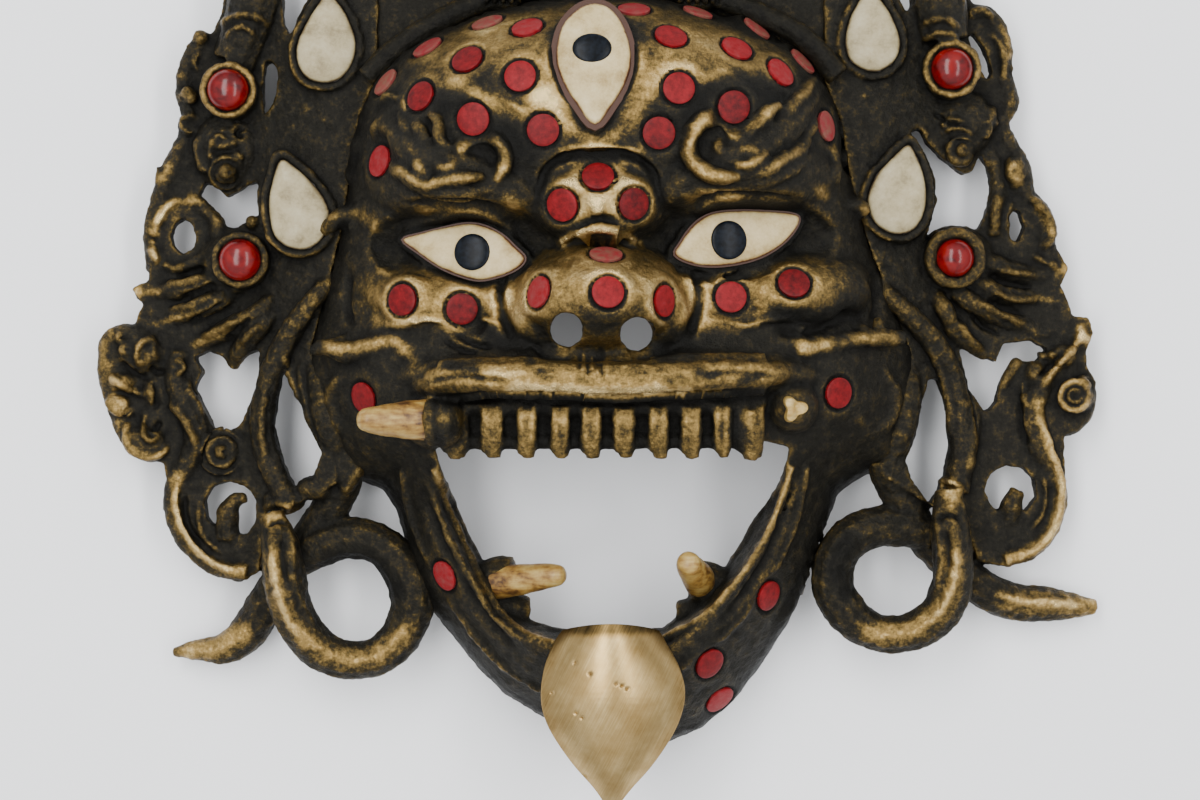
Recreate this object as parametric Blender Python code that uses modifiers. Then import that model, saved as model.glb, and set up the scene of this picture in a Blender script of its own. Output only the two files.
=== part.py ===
"""A cast brass mask of Mahakala, lying face up: a hollow face shell with openwork sides and a skull crown,
inlaid with bone and coral. X runs to the viewer's right, Y towards the crown and Z out of the face."""

import math

import bmesh
import bpy
import numpy as np
from mathutils import Matrix, Vector
from mathutils.bvhtree import BVHTree

# Driving sizes, in metres.
MASK_WIDTH = 0.3084
WALL = 0.0036
DISC_RADIUS = 0.0047
DISC_DEPTH = 0.0014
INLAY_DEPTH = 0.0040
PROUD = 0.0004
CLEARANCE = 0.0003
TONGUE_THICKNESS = 0.0030
GRAIN = 0.0017

# The free forms are drawn on a grid seen from straight above, over which the mask spans 1028 units.
# (600, 400) is the grid's middle, and heights above the rim's flat back are in the same unit.
SPAN_UNITS = 1028
GRID = MASK_WIDTH / SPAN_UNITS
GRID_MIDDLE = (600, 400)
ORIGIN_PLACE = (598.4, 245.7)
EYE_HEIGHT = 2830
DRAWN_HEIGHT = 117

# How finely the pieces are drawn.
CASTING_FACES = 4600
SHELL_STEP = 8
ROUTE_SIDES = 3
NOSTRIL_SIDES = 16
LUMP_SEGMENTS, LUMP_RINGS = 16, 10
DISC_SIDES = 8
GEM_SIDES = 12
FANG_SIDES = 10
CROWN_RINGS = 2
TONGUE_COLUMNS, TONGUE_ROWS = 6, 9
SHARP_ANGLE = 40
FOLD_FACES = 12


def eye_point():
    """Where the eye hangs over the grid's middle. The model's origin lies under ORIGIN_PLACE."""
    off = (GRID_MIDDLE[0] - ORIGIN_PLACE[0], ORIGIN_PLACE[1] - GRID_MIDDLE[1])
    return Vector((off[0], off[1], EYE_HEIGHT)) * GRID


def at(u, v, h):
    """The point that an eye above the grid's middle sees at (u, v), at height h."""
    spread = (EYE_HEIGHT - h) / (EYE_HEIGHT - DRAWN_HEIGHT) * GRID
    foot = eye_point()
    return Vector((foot.x + (u - GRID_MIDDLE[0]) * spread, foot.y + (GRID_MIDDLE[1] - v) * spread, h * GRID))


def smooth_step(t):
    t = np.clip(t, 0.0, 1.0)
    return t * t * (3 - 2 * t)


def signed_distance(u, v, outline):
    """How far (u, v) lies inside the closed outline, less than zero outside it."""
    nearest = np.full(np.shape(u), np.inf)
    inside = np.zeros(np.shape(u), bool)
    for (u0, v0), (u1, v1) in zip(outline, outline[1:] + outline[:1]):
        du, dv = u1 - u0, v1 - v0
        along = np.clip(((u - u0) * du + (v - v0) * dv) / (du * du + dv * dv), 0, 1)
        nearest = np.minimum(nearest, np.hypot(u - u0 - along * du, v - v0 - along * dv))
        crosses = (v0 > v) != (v1 > v)
        side = u0 + (v - v0) * du / (dv if dv else 1e-9)
        inside ^= crosses & (u < side)
    return np.where(inside, nearest, -nearest)


# The face: where the shell ends, seen from the front, and the mouth's opening.
FACE_OUTLINE = [
    (600, -6), (540, -2), (490, 10), (440, 28), (400, 52), (374, 80), (356, 120), (348, 180), (338, 240),
    (322, 300), (310, 345), (306, 385), (318, 420), (332, 452), (352, 474), (384, 486), (398, 508), (405, 532),
    (416, 572),
    (436, 612), (456, 638), (480, 668), (506, 694), (540, 714), (572, 734), (612, 748), (668, 742), (700, 728),
    (736, 696), (766, 656), (788, 620), (806, 575), (826, 520), (838, 490), (868, 470), (898, 462), (908, 436),
    (917, 400), (912, 350), (892, 300), (868, 240), (852, 180), (842, 120), (826, 84), (796, 50), (752, 24),
    (700, 8), (650, -4),
]
MOUTH_OUTLINE = [
    (436, 446), (448, 488), (463, 527), (486, 569), (505, 605), (528, 622), (555, 630), (612, 634), (664, 630),
    (690, 610), (726, 570), (758, 519), (778, 488), (788, 446), (740, 436), (700, 442), (600, 444), (500, 442),
]
NOSTRILS = [(568, 333), (635, 336)]
NOSTRIL_RADIUS = 16

# The crest of the face along its middle, as (v, height), and the height at which its side wall starts.
CREST = [(-20, 205), (40, 222), (100, 228), (150, 222), (200, 205), (250, 190), (300, 192), (350, 205),
         (400, 200), (450, 182), (500, 170), (560, 168), (620, 165), (680, 160), (760, 140)]
EDGE = [(-20, 86), (200, 84), (330, 72), (480, 66), (560, 72), (760, 78)]
SIDE_FALL = 0.36
EDGE_WIDTH = [(-20, 74), (200, 86), (400, 84), (480, 70), (760, 74)]
EDGE_ROUNDNESS = [(-20, 2.2), (300, 2.0), (460, 1.5), (760, 1.35)]
SHELL_MIDDLE = (608, 366)
SHELL_REACH = (344, 424)
SKIRT_SLOPE = 9
BELOW_TABLE = 40
LIP_DROP = 64
LIP_WALL = 16


def swell(u, v, place, reach, rise, turn=0.0, foot=None):
    """A round bump with reach along and across a line turned by turn degrees, alone or on a foot height."""
    c, s = math.cos(math.radians(turn)), math.sin(math.radians(turn))
    du, dv = u - place[0], v - place[1]
    across = (du * c + dv * s) / reach[0]
    down = (dv * c - du * s) / reach[1]
    left = 1 - across**2 - down**2
    bump = rise * np.sqrt(np.clip(left, 0, 1))
    return bump if foot is None else np.where(left > 0, foot + bump, 0)


def face_and_skirt(u, v):
    """The height of the face's front at (u, v), and how far the side wall has dropped there past the outline."""
    u, v = np.asarray(u, float), np.asarray(v, float)
    crest = np.interp(v, *zip(*CREST))
    edge = np.interp(v, *zip(*EDGE))
    width = np.interp(v, *zip(*EDGE_WIDTH))
    inside = signed_distance(u, v, FACE_OUTLINE)
    top = crest * (1 - SIDE_FALL * (np.abs(u - GRID_MIDDLE[0]) / 280) ** 2.4)
    power = np.interp(v, *zip(*EDGE_ROUNDNESS))
    round_off = (1 - (1 - np.clip(inside / width, 0, 1)) ** power) ** (1 / power)
    h = edge + np.maximum(top - edge, 0) * round_off
    for place, reach, drop in [((465, 246), (96, 44), 34), ((735, 238), (100, 44), 34)]:
        h = h - swell(u, v, place, reach, drop)
    # Brow ridges, the boss between them, nose, nostril wings, cheeks and upper lip.
    h = h + swell(u, v, (450, 190), (86, 34), 20, 6) + swell(u, v, (750, 184), (90, 34), 20, -6)
    h = np.maximum(h, swell(u, v, (598, 198), (76, 50), 62, foot=168))
    h = np.maximum(h, swell(u, v, (600, 300), (90, 62), 110, foot=154))
    h = np.maximum(h, swell(u, v, (548, 318), (48, 42), 66, foot=154))
    h = np.maximum(h, swell(u, v, (654, 318), (48, 42), 66, foot=154))
    h = np.maximum(h, swell(u, v, (446, 304), (88, 46), 84, 6, foot=104))
    h = np.maximum(h, swell(u, v, (776, 298), (100, 46), 84, -8, foot=104))
    h = np.maximum(h, swell(u, v, (606, 374), (216, 38), 84, foot=148))
    from_mouth = -signed_distance(u, v, MOUTH_OUTLINE)
    lower = smooth_step((v - 470) / 40)
    wall = LIP_DROP * (1 - np.clip(from_mouth / LIP_WALL, 0, 1))
    h = h - lower * wall
    return np.where(inside < 0, edge, h), np.maximum(-inside, 0) * SKIRT_SLOPE


def face_height(u, v):
    return face_and_skirt(u, v)[0]


def on_face(u, v, lift):
    return (u, v, float(face_height(u, v)) + lift)


# Blender helpers.
def clear_scene():
    for item in list(bpy.data.objects):
        bpy.data.objects.remove(item, do_unlink=True)


def linear(hex_code):
    """An sRGB hex code as the linear RGBA that a shader takes."""
    parts = [int(hex_code[i:i + 2], 16) / 255 for i in (1, 3, 5)]
    return [c / 12.92 if c <= 0.04045 else ((c + 0.055) / 1.055) ** 2.4 for c in parts] + [1.0]


def material(name, colour, roughness, metallic):
    made = bpy.data.materials.new(name)
    made.use_nodes = True
    shader = made.node_tree.nodes["Principled BSDF"]
    shader.inputs["Base Color"].default_value = linear(colour)
    shader.inputs["Roughness"].default_value = roughness
    shader.inputs["Metallic"].default_value = metallic
    made.diffuse_color = linear(colour)
    return made


def collection(name):
    made = bpy.data.collections.new(name)
    bpy.context.scene.collection.children.link(made)
    return made


def add_object(name, mesh, group):
    made = bpy.data.objects.new(name, mesh)
    group.objects.link(made)
    return made


def mesh_from(name, build):
    """A mesh made by build(bm), with its faces turned outwards."""
    bm = bmesh.new()
    build(bm)
    bmesh.ops.recalc_face_normals(bm, faces=bm.faces)
    mesh = bpy.data.meshes.new(name)
    bm.to_mesh(mesh)
    bm.free()
    return mesh


def baked(item):
    """The object's evaluated mesh, with loose caps welded, in place of the object."""
    bpy.context.view_layer.update()
    evaluated = item.evaluated_get(bpy.context.evaluated_depsgraph_get())
    mesh = bpy.data.meshes.new_from_object(evaluated)
    bm = bmesh.new()
    bm.from_mesh(mesh)
    bmesh.ops.remove_doubles(bm, verts=bm.verts, dist=1e-6)
    bmesh.ops.recalc_face_normals(bm, faces=bm.faces)
    bm.to_mesh(mesh)
    bm.free()
    mesh.transform(item.matrix_world)
    group = item.users_collection[0]
    name = item.name
    bpy.data.objects.remove(item, do_unlink=True)
    return add_object(name, mesh, group)


def add_modifier(item, kind, **settings):
    made = item.modifiers.new(kind.title(), kind)
    for key, value in settings.items():
        setattr(made, key, value)
    return made


# Blanks: the overlapping forms that are fused into the casting.
def ropes(name, routes, group):
    """Tapered round bars through points (u, v, height, radius), all in one object."""
    curve = bpy.data.curves.new(name, "CURVE")
    curve.dimensions = "3D"
    curve.bevel_depth = GRID
    curve.bevel_resolution = ROUTE_SIDES - 1
    curve.use_fill_caps = True
    curve.resolution_u = 3
    for route in routes:
        spline = curve.splines.new("BEZIER")
        spline.bezier_points.add(len(route) - 1)
        for point, (u, v, h, radius) in zip(spline.bezier_points, route):
            point.co = at(u, v, h)
            point.radius = radius
            point.handle_left_type = point.handle_right_type = "AUTO"
    return baked(add_object(name, curve, group))


def plate(name, outline, holes, low, high, group, bend=True):
    """A flat openwork plate between two heights, raised towards the face where it bends."""
    curve = bpy.data.curves.new(name, "CURVE")
    curve.dimensions = "2D"
    curve.fill_mode = "BOTH"
    curve.extrude = (high - low) / 2 * GRID
    middle = (low + high) / 2
    for ring in [outline] + holes:
        spline = curve.splines.new("POLY")
        spline.points.add(len(ring) - 1)
        for point, (u, v) in zip(spline.points, ring):
            point.co = (*at(u, v, middle).xy, 0, 1)
        spline.use_cyclic_u = True
    item = add_object(name, curve, group)
    item.location.z = middle * GRID
    item = baked(item)
    if bend:
        bm = bmesh.new()
        bm.from_mesh(item.data)
        middle_line = eye_point().x
        for step in range(-20, 21):
            cut = Vector((middle_line + step * BEND_STEP * GRID, 0, 0))
            bmesh.ops.bisect_plane(bm, geom=bm.verts[:] + bm.edges[:] + bm.faces[:],
                                   plane_co=cut, plane_no=(1, 0, 0))
        for vertex in bm.verts:
            vertex.co.z += side_rise((vertex.co.x - middle_line) / GRID) * GRID
        bm.to_mesh(item.data)
        bm.free()
    return item


RISE = 42
RISE_FROM, RISE_TO = 400, 250
BEND_STEP = 22


def side_rise(off_middle):
    """How much the side plates rise towards the face, by the distance from the middle line."""
    return RISE * float(smooth_step((RISE_FROM - abs(off_middle)) / (RISE_FROM - RISE_TO)))


def lump(bm, u, v, h, radii):
    """An egg-shaped lump with its three radii."""
    size = Matrix.Diagonal((*[r * GRID for r in radii], 1))
    bmesh.ops.create_uvsphere(bm, u_segments=LUMP_SEGMENTS, v_segments=LUMP_RINGS, radius=1,
                              matrix=Matrix.Translation(at(u, v, h)) @ size)


def post(bm, outline, low, high):
    """A straight block over an outline of (u, v) places, between two heights."""
    ring = [bm.verts.new(at(u, v, (low + high) / 2)) for u, v in outline]
    for vertex in ring:
        vertex.co.z = low * GRID
    floor = bm.faces.new(ring)
    grown = bmesh.ops.extrude_face_region(bm, geom=[floor])
    top = [g for g in grown["geom"] if isinstance(g, bmesh.types.BMVert)]
    bmesh.ops.translate(bm, verts=top, vec=(0, 0, (high - low) * GRID))


def circle(u, v, radius, sides):
    return [(u + radius * math.cos(math.tau * i / sides), v + radius * math.sin(math.tau * i / sides))
            for i in range(sides)]


def grown_outline(outline, by):
    """The outline moved outwards by a distance in grid units."""
    count = len(outline)
    area = sum(a[0] * b[1] - b[0] * a[1] for a, b in zip(outline, outline[1:] + outline[:1]))
    turn = 1 if area > 0 else -1
    moved = []
    for i, here in enumerate(outline):
        back = Vector(here) - Vector(outline[i - 1])
        ahead = Vector(outline[(i + 1) % count]) - Vector(here)
        normals = [Vector((side.y, -side.x)).normalized() * turn for side in (back, ahead)]
        bisector = (normals[0] + normals[1]).normalized()
        moved.append(tuple(Vector(here) + bisector * by / max(bisector.dot(normals[0]), 0.5)))
    return moved


def shell(group):
    """The face: a sheet raised to face_height, given its wall, and opened at the mouth and nostrils."""
    def build(bm):
        across, down = (round(2 * reach / SHELL_STEP) for reach in SHELL_REACH)
        bmesh.ops.create_grid(bm, x_segments=across, y_segments=down, size=1)
        places = [tuple(middle + share * reach for middle, share, reach in zip(SHELL_MIDDLE, vertex.co, SHELL_REACH))
                  for vertex in bm.verts]
        heights, drops = face_and_skirt(*np.array(places).T)
        for vertex, (u, v), h, drop in zip(bm.verts, places, heights, drops):
            vertex.co = at(u, v, float(h)) - Vector((0, 0, min(drop, h + BELOW_TABLE) * GRID))

    item = add_object("shell", mesh_from("shell", build), group)
    if item.data.polygons[0].normal.z < 0:
        item.data.flip_normals()
    add_modifier(item, "SOLIDIFY", thickness=WALL, offset=-1)
    item = baked(item)
    openings = [MOUTH_OUTLINE] + [circle(u, v, NOSTRIL_RADIUS, NOSTRIL_SIDES) for u, v in NOSTRILS]

    def cut(bm):
        for outline in openings:
            post(bm, outline, -2 * BELOW_TABLE, 2 * CREST[0][1])

    cutter = add_object("openings", mesh_from("openings", cut), group)
    add_modifier(item, "BOOLEAN", object=cutter, operation="DIFFERENCE", solver="EXACT")
    item = baked(item)
    bpy.data.objects.remove(cutter, do_unlink=True)
    return item


# The carving, as routes of (u, v, height, radius). Heights on the sides are above the bent plates.
LEFT_SIDE = {
    "pole": [(256, -150, 44, 6), (256, -118, 46, 20), (256, -84, 48, 13), (255, -50, 48, 26), (255, 0, 48, 29),
             (246, 34, 48, 26), (236, 62, 48, 24)],
    "outer_stem": [(204, 40, 44, 9), (189, 62, 44, 9), (184, 92, 44, 9), (190, 116, 44, 10), (183, 142, 44, 8),
                   (170, 172, 44, 11), (160, 198, 44, 9), (153, 232, 44, 10), (156, 270, 42, 10)],
    "inner_loop": [(188, 198, 46, 8), (206, 210, 46, 8), (218, 230, 46, 9), (206, 256, 46, 9), (180, 268, 44, 8)],
    "feather_1": [(137, 294, 38, 6), (160, 292, 46, 9), (185, 289, 52, 10), (212, 279, 54, 9)],
    "feather_2": [(146, 330, 36, 6), (175, 318, 46, 9), (215, 302, 56, 11)],
    "feather_3": [(190, 347, 42, 7), (206, 340, 48, 9), (232, 327, 54, 11), (256, 314, 58, 10)],
    "feather_4": [(232, 366, 42, 7), (242, 348, 50, 10), (258, 328, 56, 10)],
    "scroll_back": [(168, 348, 42, 8), (144, 336, 44, 10), (112, 338, 42, 10), (106, 362, 42, 9),
                    (111, 390, 42, 10), (120, 416, 42, 11), (136, 442, 42, 12), (160, 450, 44, 10),
                    (160, 424, 42, 7)],
    "scroll_belly": [(180, 352, 44, 11), (177, 378, 46, 12), (186, 405, 48, 14), (197, 434, 48, 14),
                     (190, 460, 46, 12), (176, 484, 44, 11), (173, 508, 44, 10), (182, 534, 44, 10),
                     (198, 554, 44, 10), (220, 568, 46, 10), (248, 572, 48, 9)],
    "strap": [(304, 312, 56, 11), (281, 350, 54, 12), (266, 390, 50, 12), (262, 425, 50, 13),
              (270, 462, 50, 13), (289, 496, 52, 12)],
    "hook": [(228, 538, 42, 12), (228, 514, 46, 12), (236, 500, 46, 8), (246, 497, 44, 5)],
}
LEFT_SNAKE = {
    "tail": [(346, 466, 70, 18), (340, 490, 58, 20), (315, 530, 46, 19), (280, 580, 38, 19), (262, 610, 34, 20),
             (245, 635, 30, 20), (225, 648, 28, 17), (200, 650, 24, 12), (173, 652, 22, 5)],
    "ring": [(272, 513, 78, 12), (280, 545, 84, 20), (285, 580, 80, 23), (292, 610, 72, 22), (310, 640, 66, 22),
             (335, 657, 62, 21), (362, 660, 60, 20), (390, 648, 60, 21), (408, 620, 62, 22), (413, 595, 64, 24),
             (403, 568, 64, 23), (383, 547, 62, 21), (355, 538, 58, 22), (325, 545, 54, 22), (298, 562, 50, 17)],
}
RIGHT_SIDE = {
    "pole": [(938, -150, 44, 6), (938, -118, 46, 20), (938, -84, 48, 13), (938, -50, 48, 26), (938, 0, 48, 30),
             (943, 40, 48, 27)],
    "hook_over": [(968, 14, 44, 9), (984, 14, 44, 9), (998, 28, 44, 9), (1004, 48, 44, 9), (1004, 78, 44, 9),
                  (1010, 104, 44, 9), (1002, 122, 44, 8), (1010, 146, 44, 9), (1022, 170, 44, 10),
                  (1026, 192, 44, 9), (1043, 216, 44, 10), (1046, 242, 44, 10), (1050, 262, 42, 9)],
    "inner_stem": [(986, 116, 44, 8), (990, 150, 44, 8), (998, 182, 46, 10), (997, 206, 46, 10), (994, 236, 46, 9)],
    "feather_1": [(985, 262, 54, 9), (1005, 268, 50, 10), (1036, 275, 46, 9), (1064, 268, 38, 7)],
    "feather_2": [(980, 284, 54, 10), (1005, 294, 50, 10), (1030, 298, 46, 9), (1056, 300, 38, 6)],
    "feather_3": [(965, 298, 56, 10), (990, 312, 52, 11), (1020, 324, 46, 10), (1050, 334, 42, 9),
                  (1080, 328, 38, 8)],
    "feather_4": [(944, 308, 56, 9), (956, 332, 50, 9), (986, 356, 42, 7)],
    "scroll": [(1080, 326, 42, 10), (1072, 350, 42, 10), (1050, 374, 44, 10), (1036, 396, 48, 13),
               (1031, 420, 48, 14), (1038, 446, 46, 12), (1052, 470, 44, 10), (1058, 496, 44, 10),
               (1052, 522, 44, 10), (1036, 546, 46, 10), (1004, 560, 48, 9)],
    "scroll_curl": [(1070, 372, 42, 8), (1085, 384, 42, 9), (1087, 404, 42, 9), (1076, 423, 42, 9),
                    (1058, 432, 42, 8)],
    "strap": [(908, 314, 56, 11), (936, 345, 54, 12), (951, 375, 50, 12), (959, 410, 50, 13), (962, 450, 50, 13),
              (957, 485, 54, 13)],
    "hook": [(1008, 524, 42, 10), (1011, 506, 46, 12), (1018, 490, 46, 8)],
}
RIGHT_SNAKE = {
    "tail": [(882, 456, 70, 17), (889, 474, 62, 19), (902, 500, 52, 19), (932, 546, 42, 19), (965, 575, 38, 19),
             (985, 590, 34, 20), (1015, 602, 28, 20), (1045, 604, 26, 19), (1075, 606, 24, 13), (1096, 607, 22, 7)],
    "ring": [(948, 490, 78, 14), (950, 530, 84, 20), (953, 565, 80, 21), (948, 598, 72, 22), (930, 622, 66, 21),
             (900, 634, 62, 20), (870, 630, 60, 20), (845, 610, 62, 22), (832, 580, 64, 22), (840, 550, 64, 22),
             (865, 530, 60, 22), (900, 527, 54, 21), (930, 536, 50, 17)],
}

# Openwork plates: outline and holes.
LEFT_PLATE = [
    (384, -60), (352, -46), (331, -24), (316, -2), (302, 22), (294, 42), (287, 26), (284, -30), (228, -30),
    (223, 15), (214, 34), (200, 36), (188, 46), (181, 66), (183, 90), (186, 112), (178, 124), (183, 140),
    (180, 158), (172, 166), (157, 168), (156, 184), (160, 196), (151, 218), (146, 245), (151, 268), (150, 281),
    (134, 289), (144, 305), (134, 330), (112, 328), (103, 344), (108, 372), (110, 400), (120, 420), (126, 444),
    (142, 458), (166, 463), (168, 480), (166, 505), (176, 534), (196, 560), (214, 572), (240, 582), (262, 570),
    (270, 504), (300, 504), (342, 482), (336, 452), (325, 420), (313, 385), (317, 345), (329, 300), (345, 240),
    (355, 180), (364, 122), (381, 84),
]
LEFT_HOLES = [
    [(206, 183), (217, 186), (228, 198), (246, 188), (261, 182), (259, 200), (262, 223), (250, 222), (236, 229),
     (222, 227), (208, 208), (199, 202)],
    [(268, 64), (275, 64), (281, 74), (280, 97), (275, 110), (266, 117), (265, 92)],
    [(185, 219), (194, 225), (198, 238), (193, 250), (184, 255), (175, 248), (172, 236), (177, 224)],
    [(196, 357), (210, 351), (224, 357), (233, 366), (246, 356), (262, 350), (261, 380), (250, 408), (243, 424),
     (226, 433), (214, 427), (204, 406), (196, 388), (204, 372)],
    [(288, 366), (281, 392), (276, 428), (281, 445), (292, 475), (305, 497), (313, 488), (326, 452), (310, 420),
     (297, 384)],
    [(206, 500), (214, 486), (232, 481), (250, 487), (259, 500), (258, 520), (250, 532), (236, 536), (220, 530),
     (208, 518)],
]
RIGHT_PLATE = [
    (820, -60), (846, -48), (866, -30), (882, -12), (895, 4), (903, 18), (909, 8), (910, -30), (967, -30),
    (970, 4), (990, 8), (1004, 26), (1008, 48), (1012, 70), (1006, 86), (1018, 103), (1006, 118), (1008, 130),
    (1016, 146), (1030, 172), (1030, 190), (1052, 218), (1054, 250), (1068, 268), (1059, 286), (1066, 300),
    (1070, 316), (1088, 318), (1092, 334), (1084, 352), (1086, 368), (1094, 382), (1089, 410), (1080, 424),
    (1062, 438), (1064, 470), (1066, 506), (1050, 540), (1036, 553), (1000, 566), (975, 560), (962, 520),
    (930, 506), (884, 478), (892, 460), (901, 436), (910, 400), (905, 350), (885, 300), (861, 240), (845, 180),
    (835, 122), (820, 88),
]
RIGHT_HOLES = [
    [(966, 38), (972, 34), (984, 52), (991, 74), (986, 82), (977, 68)],
    [(932, 97), (958, 99), (971, 94), (971, 102), (957, 114), (938, 116)],
    [(906, 135), (916, 131), (924, 146), (944, 163), (962, 175), (971, 172), (979, 154), (986, 168), (991, 190),
     (985, 213), (977, 230), (950, 229), (928, 241), (918, 249), (928, 225), (934, 203), (932, 182), (924, 158)],
    [(1010, 210), (1018, 212), (1023, 227), (1017, 242), (1010, 241), (1006, 226)],
    [(941, 315), (958, 336), (985, 359), (995, 362), (1002, 344), (1030, 340), (1046, 350), (1034, 362),
     (1016, 362), (998, 386), (995, 402), (984, 413), (967, 388), (960, 358), (948, 331)],
    [(926, 379), (935, 379), (945, 410), (948, 450), (940, 484), (927, 503), (906, 476), (902, 460), (912, 436),
     (919, 400)],
    [(983, 490), (990, 473), (1005, 465), (1022, 468), (1033, 480), (1035, 497), (1026, 510), (1008, 514),
     (992, 508)],
]
PLATE_BACK, PLATE_FRONT = 28, 50

# Bone and coral: outlines and places.
DROPS = {
    "drop_left_upper": [(328, -6), (342, 8), (352, 28), (356, 48), (350, 68), (338, 80), (322, 83), (307, 78),
                        (298, 64), (297, 46), (305, 26), (316, 8)],
    "drop_left_lower": [(281, 160), (296, 168), (313, 184), (326, 202), (330, 218), (325, 235), (314, 246),
                        (300, 250), (284, 245), (273, 232), (269, 205), (273, 180)],
    "drop_right_upper": [(868, -10), (882, 2), (893, 20), (900, 42), (895, 60), (880, 71), (864, 70), (850, 60),
                         (845, 44), (848, 24), (856, 6)],
    "drop_right_lower": [(908, 145), (917, 158), (924, 178), (926, 200), (921, 220), (910, 232), (894, 234),
                         (878, 226), (869, 212), (868, 196), (876, 176), (892, 158)],
}
EYES = {
    "eye_left": [(403, 240), (420, 234), (440, 229), (465, 224), (484, 226), (502, 235), (515, 247), (525, 258),
                 (518, 268), (500, 276), (479, 280), (458, 275), (438, 266), (419, 253)],
    "eye_right": [(675, 255), (681, 242), (690, 229), (701, 219), (716, 213), (742, 211), (770, 212), (792, 214),
                  (799, 219), (794, 231), (782, 244), (765, 255), (745, 262), (718, 266), (694, 264)],
    "eye_third": [(594, 4), (611, 10), (624, 28), (631, 56), (627, 80), (613, 104), (595, 125), (577, 105),
                  (562, 80), (556, 56), (562, 28), (577, 10)],
}
# For each setting, the height of its plane at the outline's middle and how the plane leans, as the rise
# in height for each unit along u and along v.
LEANS = {"eye_left": (166, 0.20, 0.05), "eye_right": (166, -0.20, 0.05), "eye_third": (214, 0.0, 0.26)}
PUPILS = {"eye_left": (472, 252, 18, 18), "eye_right": (729, 240, 18, 19), "eye_third": (592, 48, 19, 15)}
CABOCHONS = {
    "cabochon_left_upper": (228, 90, 21, 28),
    "cabochon_left_lower": (240, 260, 21, 28),
    "cabochon_right_upper": (952, 69, 21, 29),
    "cabochon_right_lower": (955, 258, 19, 30),
}
DISCS = {
    "forehead": [(527, 27), (467, 59), (520, 76), (420, 96), (473, 119), (543, 130), (427, 47), (385, 82),
                 (379, 161), (487, 22), (671, 36), (737, 48), (781, 72), (679, 88), (734, 107), (659, 133),
                 (827, 126), (757, 28), (803, 61), (634, 9), (698, 12)],
    "bridge": [(598, 176), (562, 205), (634, 204)],
    "nose": [(608, 292), (538, 292), (665, 301), (606, 254)],
    "cheek": [(402, 300), (462, 309), (731, 297), (794, 283)],
    "jaw": [(363, 398), (839, 393), (710, 664), (720, 700), (769, 596), (444, 576)],
}
# Each fang: the middle of its base, its tip, the two radii and how deep it sits.
FANGS = {
    "fang_upper_left": ((433, 420, 188), (357, 420, 214), 21, 8, 30),
    "fang_upper_right_stub": ((791, 407, 182), (794, 409, 206), 15, 9, 26),
    "fang_lower_left": ((508, 581, 112), (565, 574, 140), 15, 8, 18),
    "fang_lower_right": ((700, 581, 112), (686, 560, 168), 15, 9, 18),
}
# Each tooth of the upper row: its middle and its width.
TEETH = [(455, 24), (492, 19), (527, 17), (560, 16), (591, 17), (624, 18), (658, 17), (691, 18), (722, 15),
         (750, 26)]
# The tongue's edges and its spine's height, by the share of the way from its root to its tip.
TONGUE_LEFT = [(0.0, 562), (0.08, 553), (0.22, 544), (0.4, 541), (0.56, 549), (0.75, 571), (0.9, 594),
               (1.0, 606)]
TONGUE_RIGHT = [(0.0, 659), (0.08, 667), (0.22, 680), (0.38, 685), (0.56, 676), (0.75, 655), (0.9, 632),
                (1.0, 618)]
TONGUE_SPAN = (630, 806)
TONGUE_SPINE = [(0.0, 206), (0.25, 218), (0.5, 212), (0.75, 192), (1.0, 160)]
TONGUE_ARCH = 30


def with_rise(route):
    return [(u, v, h + side_rise(u - GRID_MIDDLE[0]), radius) for u, v, h, radius in route]


def face_routes():
    """Brow curls, mouth corners, lip edges, teeth and jaw ridges, which lie on the face."""
    def laid(points, lift, radius):
        return [(*on_face(u, v, lift), radius) for u, v in points]

    routes = [
        laid([(460, 150), (470, 138), (485, 135), (500, 144), (505, 160), (498, 178)], 4, 9),
        laid([(498, 180), (474, 186), (446, 184), (420, 174), (396, 158)], 2, 9),
        laid([(384, 122), (390, 140), (408, 156), (424, 168)], 4, 8),
        laid([(418, 122), (430, 138), (440, 156), (436, 168)], 4, 8),
        laid([(734, 138), (730, 124), (712, 118), (696, 130), (690, 152), (702, 170), (724, 178)], 4, 9),
        laid([(724, 178), (750, 176), (780, 168), (806, 154), (818, 134)], 2, 8),
        laid([(740, 138), (758, 120), (779, 105)], 4, 9),
        laid([(782, 134), (796, 110), (806, 88)], 4, 9),
        laid([(752, 152), (746, 142), (756, 134), (768, 140)], 4, 7),
        laid([(448, 398), (500, 393), (560, 394), (605, 396), (680, 393), (756, 388)], 0, 8),
        [(314, 351, 118, 8), (340, 357, 132, 12), (368, 357, 146, 15), (396, 352, 160, 14), (418, 368, 164, 8)],
        [(800, 340, 164, 13), (830, 341, 148, 10), (862, 338, 132, 10), (898, 337, 114, 9)],
        [(384, 226, 126, 8), (362, 214, 116, 10), (342, 216, 104, 10), (325, 229, 92, 8)],
        [(816, 204, 128, 8), (838, 196, 118, 10), (855, 200, 106, 10), (863, 211, 94, 9)],
        laid([(434, 470), (450, 512), (467, 549), (486, 588), (504, 616), (530, 636), (558, 644)], 0, 7),
        laid([(792, 468), (772, 525), (738, 580), (704, 616), (662, 640)], 0, 7),
    ]
    for u, width in TEETH:
        top = float(face_height(u, 404))
        routes.append([(u, 400, top - 4, width / 2), (u, 428, top - 2, width / 2), (u, 452, top - 12, width / 3)])
    for middle, turn in (((504, 577, 102), 1), ((702, 582, 102), -1)):
        u, v, h = middle
        routes.append([(u - 34 * turn, v + 6, h - 6, 18), (u, v, h, 22), (u + 10 * turn, v - 1, h + 2, 20)])
        routes.append([(u - 8 * turn, v + 30, h - 8, 20), (u + 24 * turn, v + 34, h - 14, 15)])
    return routes


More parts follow.
